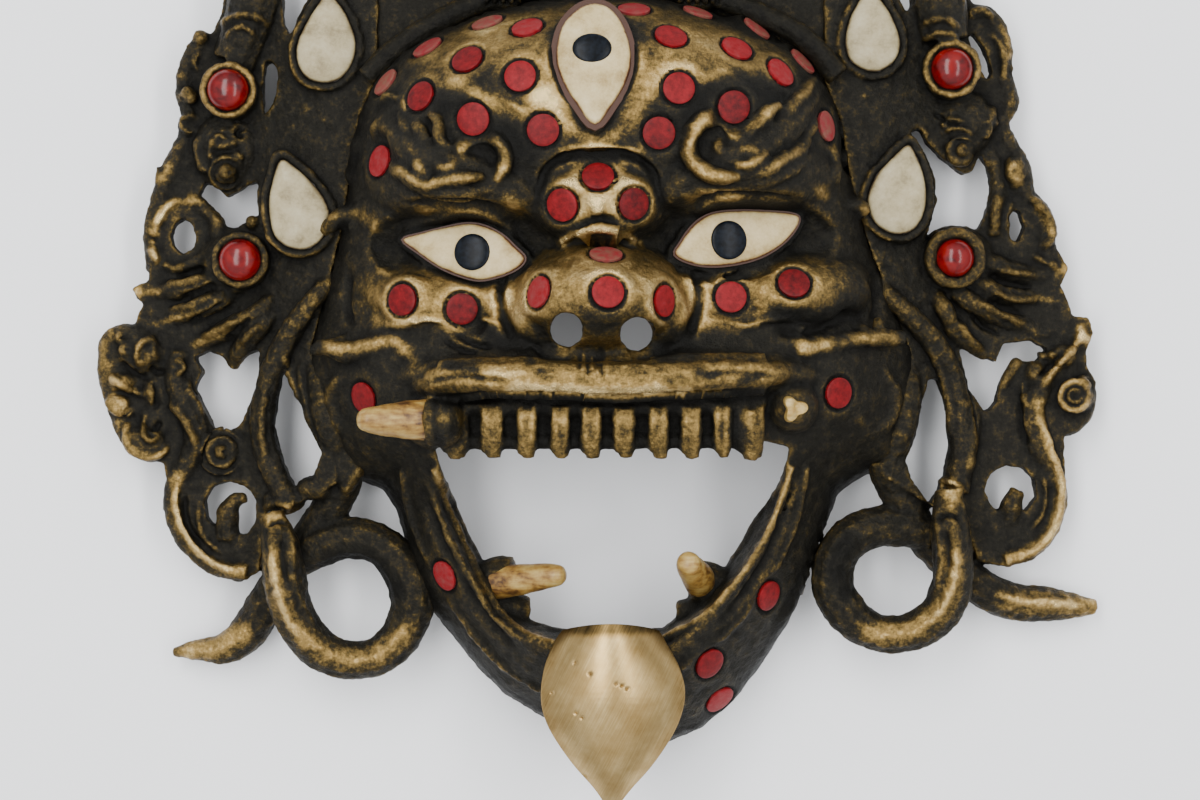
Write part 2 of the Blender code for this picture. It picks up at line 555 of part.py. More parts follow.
CROWN_LEAVES = 2
LEAF_FEET = (-44, -28, -66)
LEAF_TIPS = (-300, -258, -192)
CROWN_BACK, CROWN_FRONT = 58, 84
LEAF_STEPS = 9
LEAF_FRONT = 80


def leaf_frame(number):
    """A crown leaf's foot, its tip and its half width. Leaves are numbered from the middle one outwards."""
    foot = Vector((600 + 97 * number, LEAF_FEET[abs(number)]))
    tip = Vector((foot.x + 26 * number, LEAF_TIPS[abs(number)]))
    return foot, tip, 52 - 3 * abs(number)


def leaf_place(number, along, across):
    """The (u, v) of a place on a leaf, along it from foot to tip and across in half widths."""
    foot, tip, half = leaf_frame(number)
    middle = foot.lerp(tip, along)
    return middle.x + across * half, middle.y


def leaf_outline(number):
    rise = [i / LEAF_STEPS for i in range(LEAF_STEPS + 1)]
    right = [leaf_place(number, t, (0.9 + 0.4 * t) * (1 - t**3)) for t in rise]
    left = [leaf_place(number, t, -(0.9 + 0.4 * t) * (1 - t**3)) for t in reversed(rise[:-1])]
    return right + left


CROWN_BASE = [
    (360, 124), (350, 40), (352, -40), (392, -70), (480, -104), (600, -120), (720, -104), (808, -70), (848, -40),
    (850, 40), (846, 128), (836, 118), (820, 88), (792, 56), (750, 31), (700, 15), (650, 3), (600, 0), (540, 5),
    (492, 17), (444, 35), (404, 58), (380, 84), (364, 118),
]


def crown_routes():
    band = [(366, 78), (400, 46), (442, 20), (492, -2), (545, -15), (600, -20), (655, -17), (708, -6), (760, 14),
            (806, 40), (838, 76)]
    routes = [[(u, v, 100, 12) for u, v in band]]
    for number in range(-CROWN_LEAVES, CROWN_LEAVES + 1):
        for side in (-1, 1):
            curl = [(0.40, 0.3), (0.46, 0.75), (0.60, 0.8), (0.70, 0.45), (0.62, 0.22)]
            routes.append([(*leaf_place(number, t, side * s), 88, 8) for t, s in curl])
        routes.append([(*leaf_place(number, t, 0), 86, r) for t, r in ((0.66, 12), (0.82, 10), (1.0, 4))])
    return routes


def crown_lumps(bm):
    for number in range(-CROWN_LEAVES, CROWN_LEAVES + 1):
        foot = leaf_frame(number)[0]
        lump(bm, foot.x, foot.y - 22, 92, (40, 40, 34))
        lump(bm, foot.x, foot.y + 20, 90, (25, 24, 26))


def side_lumps(bm):
    lump(bm, 228, 150, 46, (36, 40, 26))
    lump(bm, 227, 172, 64, (12, 12, 12))
    lump(bm, 222, 452, 50, (20, 20, 14))
    lump(bm, 142, 352, 44, (26, 24, 18))
    lump(bm, 240, 264, 44, (42, 38, 26))
    lump(bm, 960, 124, 46, (36, 36, 26))
    lump(bm, 960, 150, 60, (14, 14, 12))
    lump(bm, 955, 262, 44, (42, 38, 26))
    lump(bm, 1074, 398, 44, (13, 15, 13))
    lump(bm, 612, 690, 150, (44, 64, 48))


RIM_WIDTH = 8
EYE_RIM_WIDTH = 6
DROP_RIM, GEM_RIM = 92, 84
SETTING_DEPTH = 34


class Seat:
    """A flat seat for an inlay: a plane through a point, and an outline in that plane."""

    def __init__(self, middle, normal, ring=()):
        self.middle = middle
        self.normal = normal.normalized()
        self.across = Vector((0, 1, 0)).cross(self.normal).normalized()
        self.up = self.normal.cross(self.across)
        self.ring = list(ring)

    def point(self, a, b, c):
        return self.middle + self.across * a + self.up * b + self.normal * c


def drawn_seat(outline, height, lean=(0.0, 0.0)):
    """The seat that the eye sees with this outline, in a leaning plane through its middle at a height."""
    middle = at(*(sum(values) / len(outline) for values in zip(*outline)), height)
    made = Seat(middle, Vector((-lean[0], lean[1], 1)))
    eye = eye_point()
    for u, v in outline:
        sight = at(u, v, 0) - eye
        reach = (made.middle - eye).dot(made.normal) / sight.dot(made.normal)
        spot = eye + sight * reach - made.middle
        made.ring.append((spot.dot(made.across), spot.dot(made.up)))
    return made


def seat_block(bm, seat, grow, low, high, crown=0.0, rings=0):
    """A block over a seat's outline grown by some metres, between two levels, with a domed top if it has rings."""
    ring = grown_outline(seat.ring, grow) if grow else seat.ring
    floor = bm.faces.new([bm.verts.new(seat.point(a, b, low)) for a, b in ring])
    grown = bmesh.ops.extrude_face_region(bm, geom=[floor])["geom"]
    top = moved_face(bm, grown, seat.normal * (high - low))
    for number in range(1, rings + 1):
        turn = math.pi / 2 * number / (rings + 1)
        before = math.pi / 2 * (number - 1) / (rings + 1)
        middle = seat.point(0, 0, high + crown * math.sin(before))
        grown = bmesh.ops.extrude_discrete_faces(bm, faces=[top])["faces"]
        top = moved_face(bm, grown, seat.normal * crown * (math.sin(turn) - math.sin(before)))
        shrink = math.cos(turn) / math.cos(before)
        for vertex in top.verts:
            off = vertex.co - middle
            lift = off.dot(seat.normal)
            vertex.co = middle + (off - seat.normal * lift) * shrink + seat.normal * lift


def moved_face(bm, grown, by):
    """The face among what an extrusion gave, moved by a vector."""
    face = [g for g in grown if isinstance(g, bmesh.types.BMFace)][0]
    bmesh.ops.translate(bm, verts=face.verts[:], vec=by)
    return face


def seats():
    """The seats of the drops, eyes and cabochons, by name, each with its rim's width in grid units."""
    made = {}
    for name, outline in DROPS.items():
        made[name] = (drawn_seat(outline, DROP_RIM), RIM_WIDTH)
    for name, outline in EYES.items():
        height, lean_across, lean_down = LEANS[name]
        made[name] = (drawn_seat(outline, height, (lean_across, lean_down)), EYE_RIM_WIDTH)
    for name, (u, v, radius, rim) in CABOCHONS.items():
        made[name] = (drawn_seat(circle(u, v, radius, GEM_SIDES), GEM_RIM), rim - radius)
    return made


def setting_rims(bm):
    """The blocks that the drops, eyes and cabochons are set in, and the upper fangs' sockets."""
    for seat, rim in seats().values():
        seat_block(bm, seat, rim * GRID, -SETTING_DEPTH * GRID, 0)
    lump(bm, 430, 421, 160, (27, 27, 44))
    lump(bm, 791, 406, 152, (28, 28, 44))


def tongue_sheet(name, grow, top, bottom, group):
    """The tongue's bent shield between two offsets from its drawn face, in metres, grown at its edges."""
    def build(bm):
        bmesh.ops.create_grid(bm, x_segments=TONGUE_COLUMNS, y_segments=TONGUE_ROWS, size=1)
        for vertex in bm.verts:
            s, t = vertex.co.x, (1 - vertex.co.y) / 2
            left = np.interp(t, *zip(*TONGUE_LEFT)) - grow / GRID
            right = np.interp(t, *zip(*TONGUE_RIGHT)) + grow / GRID
            u = left + (right - left) * (s + 1) / 2
            v = TONGUE_SPAN[0] - grow / GRID + (TONGUE_SPAN[1] - TONGUE_SPAN[0] + 2 * grow / GRID) * t
            h = np.interp(t, *zip(*TONGUE_SPINE)) - TONGUE_ARCH * s * s * (1 - t**3)
            vertex.co = at(u, v, h)

    item = add_object(name, mesh_from(name, build), group)
    if item.data.polygons[0].normal.z < 0:
        item.data.flip_normals()
    for vertex in item.data.vertices:
        vertex.co.z += top
    add_modifier(item, "SOLIDIFY", thickness=top - bottom, offset=-1)
    return baked(item)


SKULL_TOP, HOLLOW_FROM, HOLLOW_DEPTH = 110, 96, 16


def dent_skulls(mesh):
    """Press eye and nose hollows into the crown's skulls."""
    hollows = []
    for number in range(-CROWN_LEAVES, CROWN_LEAVES + 1):
        foot = leaf_frame(number)[0]
        hollows += [(foot.x - 15, foot.y - 20, 12), (foot.x + 15, foot.y - 20, 12), (foot.x, foot.y + 2, 7)]
    for vertex in mesh.vertices:
        for u, v, radius in hollows:
            place = at(u, v, SKULL_TOP)
            off = math.hypot(vertex.co.x - place.x, vertex.co.y - place.y) / (radius * GRID)
            if off < 1 and vertex.co.z > HOLLOW_FROM * GRID:
                vertex.co.z -= HOLLOW_DEPTH * GRID * (1 - off * off)


def drop_folds(mesh):
    """Take off the small folds, closed on themselves, that thinning and cutting leave on the casting."""
    bm = bmesh.new()
    bm.from_mesh(mesh)
    left, bodies = set(bm.faces), []
    while left:
        body = [left.pop()]
        for face in body:
            for edge in face.edges:
                beside = [other for other in edge.link_faces if other in left and len(edge.link_faces) == 2]
                left.difference_update(beside)
                body.extend(beside)
        bodies.append(body)
    whole = max(bodies, key=len)
    folds = [face for body in bodies if body is not whole for face in body if len(body) <= FOLD_FACES]
    bmesh.ops.delete(bm, geom=folds, context="FACES")
    bm.to_mesh(mesh)
    bm.free()


def casting(group, blanks):
    """The fused casting, before its sockets are cut."""
    parts = [shell(blanks), ropes("face_carving", face_routes(), blanks)]
    for side in (LEFT_SIDE, RIGHT_SIDE):
        parts.append(ropes("side_carving", [with_rise(route) for route in side.values()], blanks))
    for snake in (LEFT_SNAKE, RIGHT_SNAKE):
        parts.append(ropes("snakes", list(snake.values()), blanks))
    parts.append(plate("left_plate", LEFT_PLATE, LEFT_HOLES, PLATE_BACK, PLATE_FRONT, blanks))
    parts.append(plate("right_plate", RIGHT_PLATE, RIGHT_HOLES, PLATE_BACK, PLATE_FRONT, blanks))
    parts.append(plate("crown_base", CROWN_BASE, [], CROWN_BACK, CROWN_FRONT, blanks, bend=False))
    for number in range(-CROWN_LEAVES, CROWN_LEAVES + 1):
        parts.append(plate("leaf", leaf_outline(number), [], CROWN_BACK, LEAF_FRONT, blanks, bend=False))
    parts.append(ropes("crown_carving", crown_routes(), blanks))
    for build in (crown_lumps, side_lumps, setting_rims):
        parts.append(add_object(build.__name__, mesh_from(build.__name__, build), blanks))
    whole = bmesh.new()
    for part in parts:
        whole.from_mesh(part.data)
        bpy.data.objects.remove(part, do_unlink=True)
    mesh = bpy.data.meshes.new("casting")
    whole.to_mesh(mesh)
    whole.free()
    item = add_object("casting", mesh, blanks)
    add_modifier(item, "REMESH", mode="VOXEL", voxel_size=GRAIN)
    add_modifier(item, "SMOOTH", factor=0.5, iterations=2)
    item = baked(item)
    dent_skulls(item.data)
    faces = sum(len(face.vertices) - 2 for face in item.data.polygons)
    add_modifier(item, "DECIMATE", ratio=CASTING_FACES / faces)
    item = baked(item)
    group.objects.link(item)
    blanks.objects.unlink(item)
    return item


def make_materials():
    return {
        "brass": material("patinated_brass", "#4A4030", 0.45, 1.0),
        "tongue": material("brushed_brass", "#BFA67A", 0.35, 1.0),
        "bone": material("bone", "#D9CDB4", 0.5, 0.0),
        "fang": material("stained_bone", "#CDA673", 0.45, 0.0),
        "coral": material("coral", "#B3202A", 0.4, 0.0),
        "pupil": material("dark_pupil", "#1E242C", 0.15, 0.0),
    }


def finish_piece(name, mesh, finish, group):
    mesh.materials.clear()
    mesh.materials.append(finish)
    mesh.shade_smooth()
    mesh.set_sharp_from_angle(angle=math.radians(SHARP_ANGLE))
    return add_object(name, mesh, group)


def cutter(name, build, cutters):
    item = add_object(name, mesh_from(name, build), cutters)
    item.hide_render = True
    item.display_type = "WIRE"
    return item


def surface_of(item):
    return BVHTree.FromPolygons([v.co for v in item.data.vertices], [f.vertices for f in item.data.polygons])


def seen_on(tree, u, v):
    """Where the sight line through (u, v) meets a surface."""
    eye = eye_point()
    return tree.ray_cast(eye, (at(u, v, 0) - eye).normalized())[0]


NORMAL_STEP = 9


def face_normal(u, v):
    """The normal of the drawn face, taken across a disc's width."""
    steps = ((NORMAL_STEP, 0), (-NORMAL_STEP, 0), (0, NORMAL_STEP), (0, -NORMAL_STEP))
    right, left, down, up = (at(u + a, v + b, float(face_height(u + a, v + b))) for a, b in steps)
    return (right - left).cross(up - down).normalized()


SOCKET_REACH = 0.012
EYE_CROWN, DROP_CROWN, GEM_CROWN = 0.0022, 0.0026, 0.0046
PUPIL_DEPTH, PUPIL_CROWN = 0.0012, 0.0008


def add_inlays(group, cutters, eye_cutters, finishes):
    """The bone and coral pieces in their rims, with a socket cutter for each."""
    crowns = {"drop": (DROP_CROWN, "bone"), "eye": (EYE_CROWN, "bone"), "cabochon": (GEM_CROWN, "coral")}
    for name, (seat, _) in seats().items():
        crown, finish = crowns[name.split("_")[0]]

        def build(bm):
            seat_block(bm, seat, 0, -INLAY_DEPTH, PROUD, crown, CROWN_RINGS)

        def cut(bm):
            seat_block(bm, seat, CLEARANCE, -INLAY_DEPTH - CLEARANCE, SOCKET_REACH)

        piece = finish_piece(name, mesh_from(name, build), finishes[finish], group)
        cutter("socket_" + name, cut, cutters)
        if name in PUPILS:
            add_pupil(name, piece, seat, group, eye_cutters, finishes)


def add_pupil(name, eye, seat, group, eye_cutters, finishes):
    """A dark pupil let into the middle of an eye."""
    u, v, across, down = PUPILS[name]
    place = seen_on(surface_of(eye), u, v)
    hole = Seat(place, seat.normal, [(a * across * GRID, b * down * GRID) for a, b in circle(0, 0, 1, GEM_SIDES)])

    def build(bm):
        seat_block(bm, hole, 0, -PUPIL_DEPTH, PROUD, PUPIL_CROWN, 1)

    def cut(bm):
        seat_block(bm, hole, CLEARANCE, -PUPIL_DEPTH - CLEARANCE, SOCKET_REACH)

    finish_piece(name.replace("eye", "pupil"), mesh_from("pupil", build), finishes["pupil"], group)
    socket = cutter("pupil_socket_" + name, cut, eye_cutters)
    add_modifier(eye, "BOOLEAN", object=socket, operation="DIFFERENCE", solver="EXACT")


def add_discs(metal, group, cutters, finishes):
    """Coral discs let in flush where the sight line to each meets the metal."""
    tree = surface_of(metal)
    for region, places in DISCS.items():
        for number, (u, v) in enumerate(places, 1):
            hole = Seat(seen_on(tree, u, v), face_normal(u, v), circle(0, 0, DISC_RADIUS, DISC_SIDES))

            def build(bm):
                seat_block(bm, hole, 0, -DISC_DEPTH, PROUD)

            def cut(bm):
                seat_block(bm, hole, CLEARANCE, -DISC_DEPTH - CLEARANCE, DISC_RADIUS)

            name = f"disc_{region}_{number:02d}"
            finish_piece(name, mesh_from(name, build), finishes["coral"], group)
            cutter("socket_" + name, cut, cutters)


FANG_SOCKET_REACH = 34
BREAK_DEPTH = 7
BREAK_SLOPE = (0.5, -0.6, 0)


def add_fangs(group, cutters, finishes):
    """Round tapered fangs standing in bored sockets. The upper right one is broken off short."""
    for name, (base, tip, wide, narrow, depth) in FANGS.items():
        foot, end = at(*base), at(*tip)
        axis = (end - foot).normalized()
        root = foot - axis * depth * GRID
        length = (end - root).length
        turn = axis.to_track_quat("Z", "Y").to_matrix().to_4x4()

        def build(bm):
            place = Matrix.Translation((root + end) / 2) @ turn
            bmesh.ops.create_cone(bm, cap_ends=True, segments=FANG_SIDES, radius1=wide * GRID,
                                  radius2=narrow * GRID, depth=length, matrix=place)
            if name.endswith("stub"):
                broken = bmesh.ops.bisect_plane(bm, geom=bm.verts[:] + bm.edges[:] + bm.faces[:],
                                                plane_co=end - axis * BREAK_DEPTH * GRID, clear_outer=True,
                                                plane_no=axis + Vector(BREAK_SLOPE))
                edges = [g for g in broken["geom_cut"] if isinstance(g, bmesh.types.BMEdge)]
                bmesh.ops.holes_fill(bm, edges=edges)

        def cut(bm):
            reach = (depth + FANG_SOCKET_REACH) * GRID
            place = Matrix.Translation(root + axis * (reach / 2 - CLEARANCE)) @ turn
            bmesh.ops.create_cone(bm, cap_ends=True, segments=FANG_SIDES, radius1=wide * GRID + CLEARANCE,
                                  radius2=wide * GRID + CLEARANCE, depth=reach, matrix=place)

        finish_piece(name, mesh_from(name, build), finishes["fang"], group)
        cutter("socket_" + name, cut, cutters)


def build_mask():
    clear_scene()
    mask = collection("mahakala_mask")
    cutters = collection("cutters")
    eye_cutters = collection("eye_cutters")
    blanks = collection("blanks")
    finishes = make_materials()
    metal = casting(mask, blanks)
    bpy.data.collections.remove(blanks)
    metal.data.materials.clear()
    metal.data.materials.append(finishes["brass"])
    add_discs(metal, mask, cutters, finishes)
    add_inlays(mask, cutters, eye_cutters, finishes)
    add_fangs(mask, cutters, finishes)
    tongue = tongue_sheet("tongue", 0.0, 0.0, -TONGUE_THICKNESS, mask)
    tongue.data.materials.append(finishes["tongue"])
    seat = tongue_sheet("tongue_seat", CLEARANCE, CLEARANCE, -TONGUE_THICKNESS - CLEARANCE, cutters)
    seat.hide_render = True
    seat.display_type = "WIRE"

    def table(bm):
        size = MASK_WIDTH * 2
        bmesh.ops.create_cube(bm, size=size, matrix=Matrix.Translation((0, 0, -size / 2)))

    cutter("flat_back", table, cutters)
    add_modifier(metal, "BOOLEAN", operand_type="COLLECTION", collection=cutters, operation="DIFFERENCE",
                 solver="EXACT")
    drop_folds(baked(metal).data)


build_mask()
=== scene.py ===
"""A cast brass mask of Mahakala with coral and bone inlays, lying face up under soft studio light."""

import math

import bmesh
import bpy
import numpy as np
from mathutils import Matrix, Vector, noise
from mathutils.bvhtree import BVHTree


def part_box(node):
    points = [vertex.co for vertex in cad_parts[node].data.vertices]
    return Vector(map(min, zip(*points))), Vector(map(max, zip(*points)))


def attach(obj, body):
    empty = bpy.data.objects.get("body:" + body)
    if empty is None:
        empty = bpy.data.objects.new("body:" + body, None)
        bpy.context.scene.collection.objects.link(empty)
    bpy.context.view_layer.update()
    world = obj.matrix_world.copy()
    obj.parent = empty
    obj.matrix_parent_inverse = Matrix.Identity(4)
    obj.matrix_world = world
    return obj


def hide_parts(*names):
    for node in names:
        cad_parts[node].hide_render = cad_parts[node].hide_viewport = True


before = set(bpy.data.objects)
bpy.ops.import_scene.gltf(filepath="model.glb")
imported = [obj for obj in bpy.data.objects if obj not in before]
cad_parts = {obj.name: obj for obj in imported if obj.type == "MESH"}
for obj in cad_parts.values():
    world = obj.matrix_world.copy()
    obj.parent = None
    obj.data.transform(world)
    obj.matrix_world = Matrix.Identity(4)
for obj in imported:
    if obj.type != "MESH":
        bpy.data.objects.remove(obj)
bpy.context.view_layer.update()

# Camera: it hangs straight above the mask and looks down, with the crown at the top of the picture.
# The carving is drawn in grid units of 0.3 mm, as (u, v) seen from there, with heights above the flat back.
GRID = 0.0003
GRID_MIDDLE = (600, 400)
ORIGIN_PLACE = (598.4, 245.7)
EYE_HEIGHT = 2830
DRAWN_HEIGHT = 117
PICTURE_WIDTH = 1200
SENSOR_WIDTH = 36.0
NEAREST_SEEN = 0.01
EYE = Vector((GRID_MIDDLE[0] - ORIGIN_PLACE[0], ORIGIN_PLACE[1] - GRID_MIDDLE[1], EYE_HEIGHT)) * GRID


def at(u, v, h):
    """The point that the camera sees at (u, v), at height h."""
    spread = (EYE_HEIGHT - h) / (EYE_HEIGHT - DRAWN_HEIGHT) * GRID
    return Vector((EYE.x + (u - GRID_MIDDLE[0]) * spread, EYE.y + (GRID_MIDDLE[1] - v) * spread, h * GRID))


lens = bpy.data.cameras.new("camera")
lens.sensor_width = SENSOR_WIDTH
lens.lens = SENSOR_WIDTH * (EYE_HEIGHT - DRAWN_HEIGHT) / PICTURE_WIDTH
lens.clip_start = NEAREST_SEEN
camera = bpy.data.objects.new("camera", lens)
camera.location = EYE
bpy.context.scene.collection.objects.link(camera)
bpy.context.scene.camera = camera


# Floor and light: a pale table top under a soft even room light. Two long soft strips of light hang above
# the mask, the stronger one on the left. They lay bright streaks along the brass and throw soft shadows.
FLOOR_COLOUR = "#F1F2F4"
FLOOR_SIZE = 6.0
SKY_STOPS = [(0.0, "#6C6C6A"), (0.25, "#B4B5B5"), (0.55, "#F5F5F5"), (0.85, "#EAEBED"), (1.0, "#C4C6C8")]
SKY_STRENGTH = 1.6
SOFT_LIGHTS = [((-0.42, 0.28, 1.25), 0.36, 1.7, 21.0), ((0.58, 0.12, 1.15), 0.22, 1.5, 10.0)]


def linear(hex_code):
    """An sRGB hex code as linear RGBA."""
    parts = [int(hex_code[i:i + 2], 16) / 255 for i in (1, 3, 5)]
    return [c / 12.92 if c <= 0.04045 else ((c + 0.055) / 1.055) ** 2.4 for c in parts] + [1.0]


def add_node(tree, kind, inputs=(), stops=(), **settings):
    """A node with its settings. An input takes a value or a node's output, a ramp its (place, hex) stops."""
    made = tree.nodes.new(kind)
    for key, value in settings.items():
        setattr(made, key, value)
    for key, value in dict(inputs).items():
        if isinstance(value, bpy.types.NodeSocket):
            tree.links.new(value, made.inputs[key])
        else:
            made.inputs[key].default_value = value
    for number, (place, colour) in enumerate(stops):
        while len(made.color_ramp.elements) <= number:
            made.color_ramp.elements.new(1.0)
        made.color_ramp.elements[number].position = place
        made.color_ramp.elements[number].color = linear(colour)
    return made


def new_material(name, **constants):
    """A material with constants set on its shader, as (material, tree, shader, object coordinates)."""
    made = bpy.data.materials.new(name)
    made.use_nodes = True
    tree = made.node_tree
    shader = tree.nodes["Principled BSDF"]
    for key, value in constants.items():
        shader.inputs[key.replace("_", " ").title().replace("Ior", "IOR")].default_value = value
    place = add_node(tree, "ShaderNodeTexCoord").outputs["Object"]
    return made, tree, shader, place


def mesh_from(name, build):
    """A mesh made by build(bm), with its faces turned outwards."""
    bm = bmesh.new()
    build(bm)
    bmesh.ops.recalc_face_normals(bm, faces=bm.faces)
    mesh = bpy.data.meshes.new(name)
    bm.to_mesh(mesh)
    bm.free()
    return mesh


def add_object(name, mesh):
    made = bpy.data.objects.new(name, mesh)
    bpy.context.scene.collection.objects.link(made)
    return made


def table_top(bm):
    bmesh.ops.create_grid(bm, x_segments=1, y_segments=1, size=FLOOR_SIZE / 2)


floor = add_object("table_top", mesh_from("table_top", table_top))
paint, tree, shader, place = new_material("matt_white_paint", roughness=0.85)
speckle = add_node(tree, "ShaderNodeTexNoise", {"Vector": place, "Scale": 30.0, "Detail": 3.0})
tint = add_node(tree, "ShaderNodeMapRange", {"Value": speckle.outputs["Fac"], "To Min": 0.97, "To Max": 1.0})
shade = add_node(tree, "ShaderNodeHueSaturation",
                 {"Color": linear(FLOOR_COLOUR), "Value": tint.outputs["Result"]})
tree.links.new(shade.outputs["Color"], shader.inputs["Base Color"])
floor.data.materials.append(paint)

sky = bpy.data.worlds.new("studio")
sky.use_nodes = True
way = add_node(sky.node_tree, "ShaderNodeTexCoord").outputs["Generated"]
height = add_node(sky.node_tree, "ShaderNodeSeparateXYZ", {"Vector": way}).outputs["Z"]
room = add_node(sky.node_tree, "ShaderNodeValToRGB", {"Fac": height}, SKY_STOPS).outputs["Color"]
sky.node_tree.links.new(room, sky.node_tree.nodes["Background"].inputs["Color"])
sky.node_tree.nodes["Background"].inputs["Strength"].default_value = SKY_STRENGTH
bpy.context.scene.world = sky
for number, (spot, width, length, power) in enumerate(SOFT_LIGHTS):
    light = bpy.data.lights.new(f"soft_light_{number}", "AREA")
    light.shape = "RECTANGLE"
    light.size = width
    light.size_y = length
    light.energy = power
    lamp = bpy.data.objects.new(light.name, light)
    lamp.location = spot
    lamp.rotation_euler = (-math.atan2(spot[1], spot[2]), math.atan2(spot[0], spot[2]), 0)
    bpy.context.scene.collection.objects.link(lamp)


# Face shell: the front of the casting, a hollow brass shell about 3.6 mm thick, lost-wax cast with its
# brows, cheeks, lips and teeth. Its forms are laid in as sheets, bars and lumps, fused, and worked.
WALL = 0.0036
SHELL_STEP = 5
SHELL_MIDDLE = (608, 366)
SHELL_REACH = (344, 424)
BELOW_TABLE = 40
FACE_GRAIN = 0.0007
FACE_OUTLINE = [
    (600, -6), (540, -2), (490, 10), (440, 28), (400, 52), (374, 80), (356, 120), (348, 180), (338, 240),
    (322, 300), (310, 345), (306, 385), (318, 420), (332, 452), (352, 474), (384, 486), (398, 508),
    (405, 532),
    (416, 572), (436, 612), (456, 638), (480, 668), (506, 694), (540, 714), (572, 734), (612, 748),
    (668, 742),
    (700, 728), (736, 696), (766, 656), (788, 620), (806, 575), (826, 520), (838, 490), (868, 470),
    (898, 462),
    (908, 436), (917, 400), (912, 350), (892, 300), (868, 240), (852, 180), (842, 120), (826, 84), (796, 50),
    (752, 24), (700, 8), (650, -4),
]
MOUTH_OUTLINE = [
    (436, 446), (448, 488), (463, 527), (486, 569), (505, 605), (528, 622), (555, 630), (612, 634),
    (664, 630),
    (690, 610), (726, 570), (758, 519), (778, 488), (788, 446), (740, 436), (700, 442), (600, 444),
    (500, 442),
]
NOSTRILS = [(568, 333), (635, 336)]
NOSTRIL_RADIUS = 16
# The crest's and the side edge's height, and how broad and how round the edge is, each by v.
CREST = [(-20, 205), (40, 222), (100, 228), (150, 222), (200, 205), (250, 190), (300, 192), (350, 205),
         (400, 200), (450, 182), (500, 170), (560, 168), (620, 165), (680, 160), (760, 140)]
EDGE = [(-20, 86), (200, 84), (330, 72), (480, 66), (560, 72), (760, 78)]
EDGE_WIDTH = [(-20, 74), (200, 86), (400, 84), (480, 70), (760, 74)]
EDGE_ROUNDNESS = [(-20, 2.2), (300, 2.0), (460, 1.5), (760, 1.35)]
SIDE_FALL, SIDE_HALF, SIDE_POWER = 0.36, 280, 2.4
SKIRT_SLOPE = 9
LIP_DROP = 64
LIP_WALL = 16
JAW_TOP, JAW_RUN = 470, 40
# The round forms of the face, as (place, reach, rise, turn), and for the last ones the height of their foot.
EYE_HOLLOWS = [((465, 246), (96, 44), 34, 0), ((735, 238), (100, 44), 34, 0)]
BROW_SWELLS = [((450, 190), (86, 34), 20, 6), ((750, 184), (90, 34), 20, -6)]
FACE_FORMS = [
    ((598, 198), (76, 50), 62, 0, 168), ((600, 300), (90, 62), 110, 0, 154),
    ((548, 318), (48, 42), 66, 0, 154), ((654, 318), (48, 42), 66, 0, 154),
    ((446, 304), (88, 46), 84, 6, 104), ((776, 298), (100, 46), 84, -8, 104),
    ((606, 374), (216, 38), 84, 0, 148),
]


def smooth_step(t):
    t = np.clip(t, 0.0, 1.0)
    return t * t * (3 - 2 * t)


def signed_distance(u, v, outline):
    """How far (u, v) lies inside the closed outline, less than zero outside it."""
    nearest = np.full(np.shape(u), np.inf)
    inside = np.zeros(np.shape(u), bool)
    for (u0, v0), (u1, v1) in zip(outline, outline[1:] + outline[:1]):
        du, dv = u1 - u0, v1 - v0
        along = np.clip(((u - u0) * du + (v - v0) * dv) / (du * du + dv * dv), 0, 1)
        nearest = np.minimum(nearest, np.hypot(u - u0 - along * du, v - v0 - along * dv))
        crosses = (v0 > v) != (v1 > v)
        inside ^= crosses & (u < u0 + (v - v0) * du / (dv if dv else 1e-9))
    return np.where(inside, nearest, -nearest)


def swell(u, v, place, reach, rise, turn=0.0, foot=None):
    """A round bump with reach along and across a line turned by turn degrees, alone or on a foot height."""
    c, s = math.cos(math.radians(turn)), math.sin(math.radians(turn))
    du, dv = u - place[0], v - place[1]
    left = 1 - ((du * c + dv * s) / reach[0]) ** 2 - ((dv * c - du * s) / reach[1]) ** 2
    bump = rise * np.sqrt(np.clip(left, 0, 1))
    return bump if foot is None else np.where(left > 0, foot + bump, 0)


def face_and_skirt(u, v):
    """The height of the face's front at (u, v), and how far the side wall drops there past the outline."""
    u, v = np.asarray(u, float), np.asarray(v, float)
    crest, edge, width, power = (np.interp(v, *zip(*table))
                                 for table in (CREST, EDGE, EDGE_WIDTH, EDGE_ROUNDNESS))
    inside = signed_distance(u, v, FACE_OUTLINE)
    top = crest * (1 - SIDE_FALL * (np.abs(u - GRID_MIDDLE[0]) / SIDE_HALF) ** SIDE_POWER)
    h = edge + np.maximum(top - edge, 0) * (1 - (1 - np.clip(inside / width, 0, 1)) ** power) ** (1 / power)
    for form in EYE_HOLLOWS:
        h = h - swell(u, v, *form)
    for form in BROW_SWELLS:
        h = h + swell(u, v, *form)
    for form in FACE_FORMS:
        h = np.maximum(h, swell(u, v, *form))
    wall = LIP_DROP * (1 - np.clip(-signed_distance(u, v, MOUTH_OUTLINE) / LIP_WALL, 0, 1))
    h = h - smooth_step((v - JAW_TOP) / JAW_RUN) * wall
    return np.where(inside < 0, edge, h), np.maximum(-inside, 0) * SKIRT_SLOPE


def on_face(u, v, lift):
    return (u, v, float(face_and_skirt(u, v)[0]) + lift)


def baked(item):
    """The object's evaluated mesh, in place of the object."""
    bpy.context.view_layer.update()
    evaluated = item.evaluated_get(bpy.context.evaluated_depsgraph_get())
    mesh = bpy.data.meshes.new_from_object(evaluated)
    mesh.transform(item.matrix_world)
    name = item.name
    bpy.data.objects.remove(item, do_unlink=True)
    return add_object(name, mesh)


def add_modifier(item, kind, **settings):
    made = item.modifiers.new(kind.title(), kind)
    for key, value in settings.items():
        setattr(made, key, value)
    return made


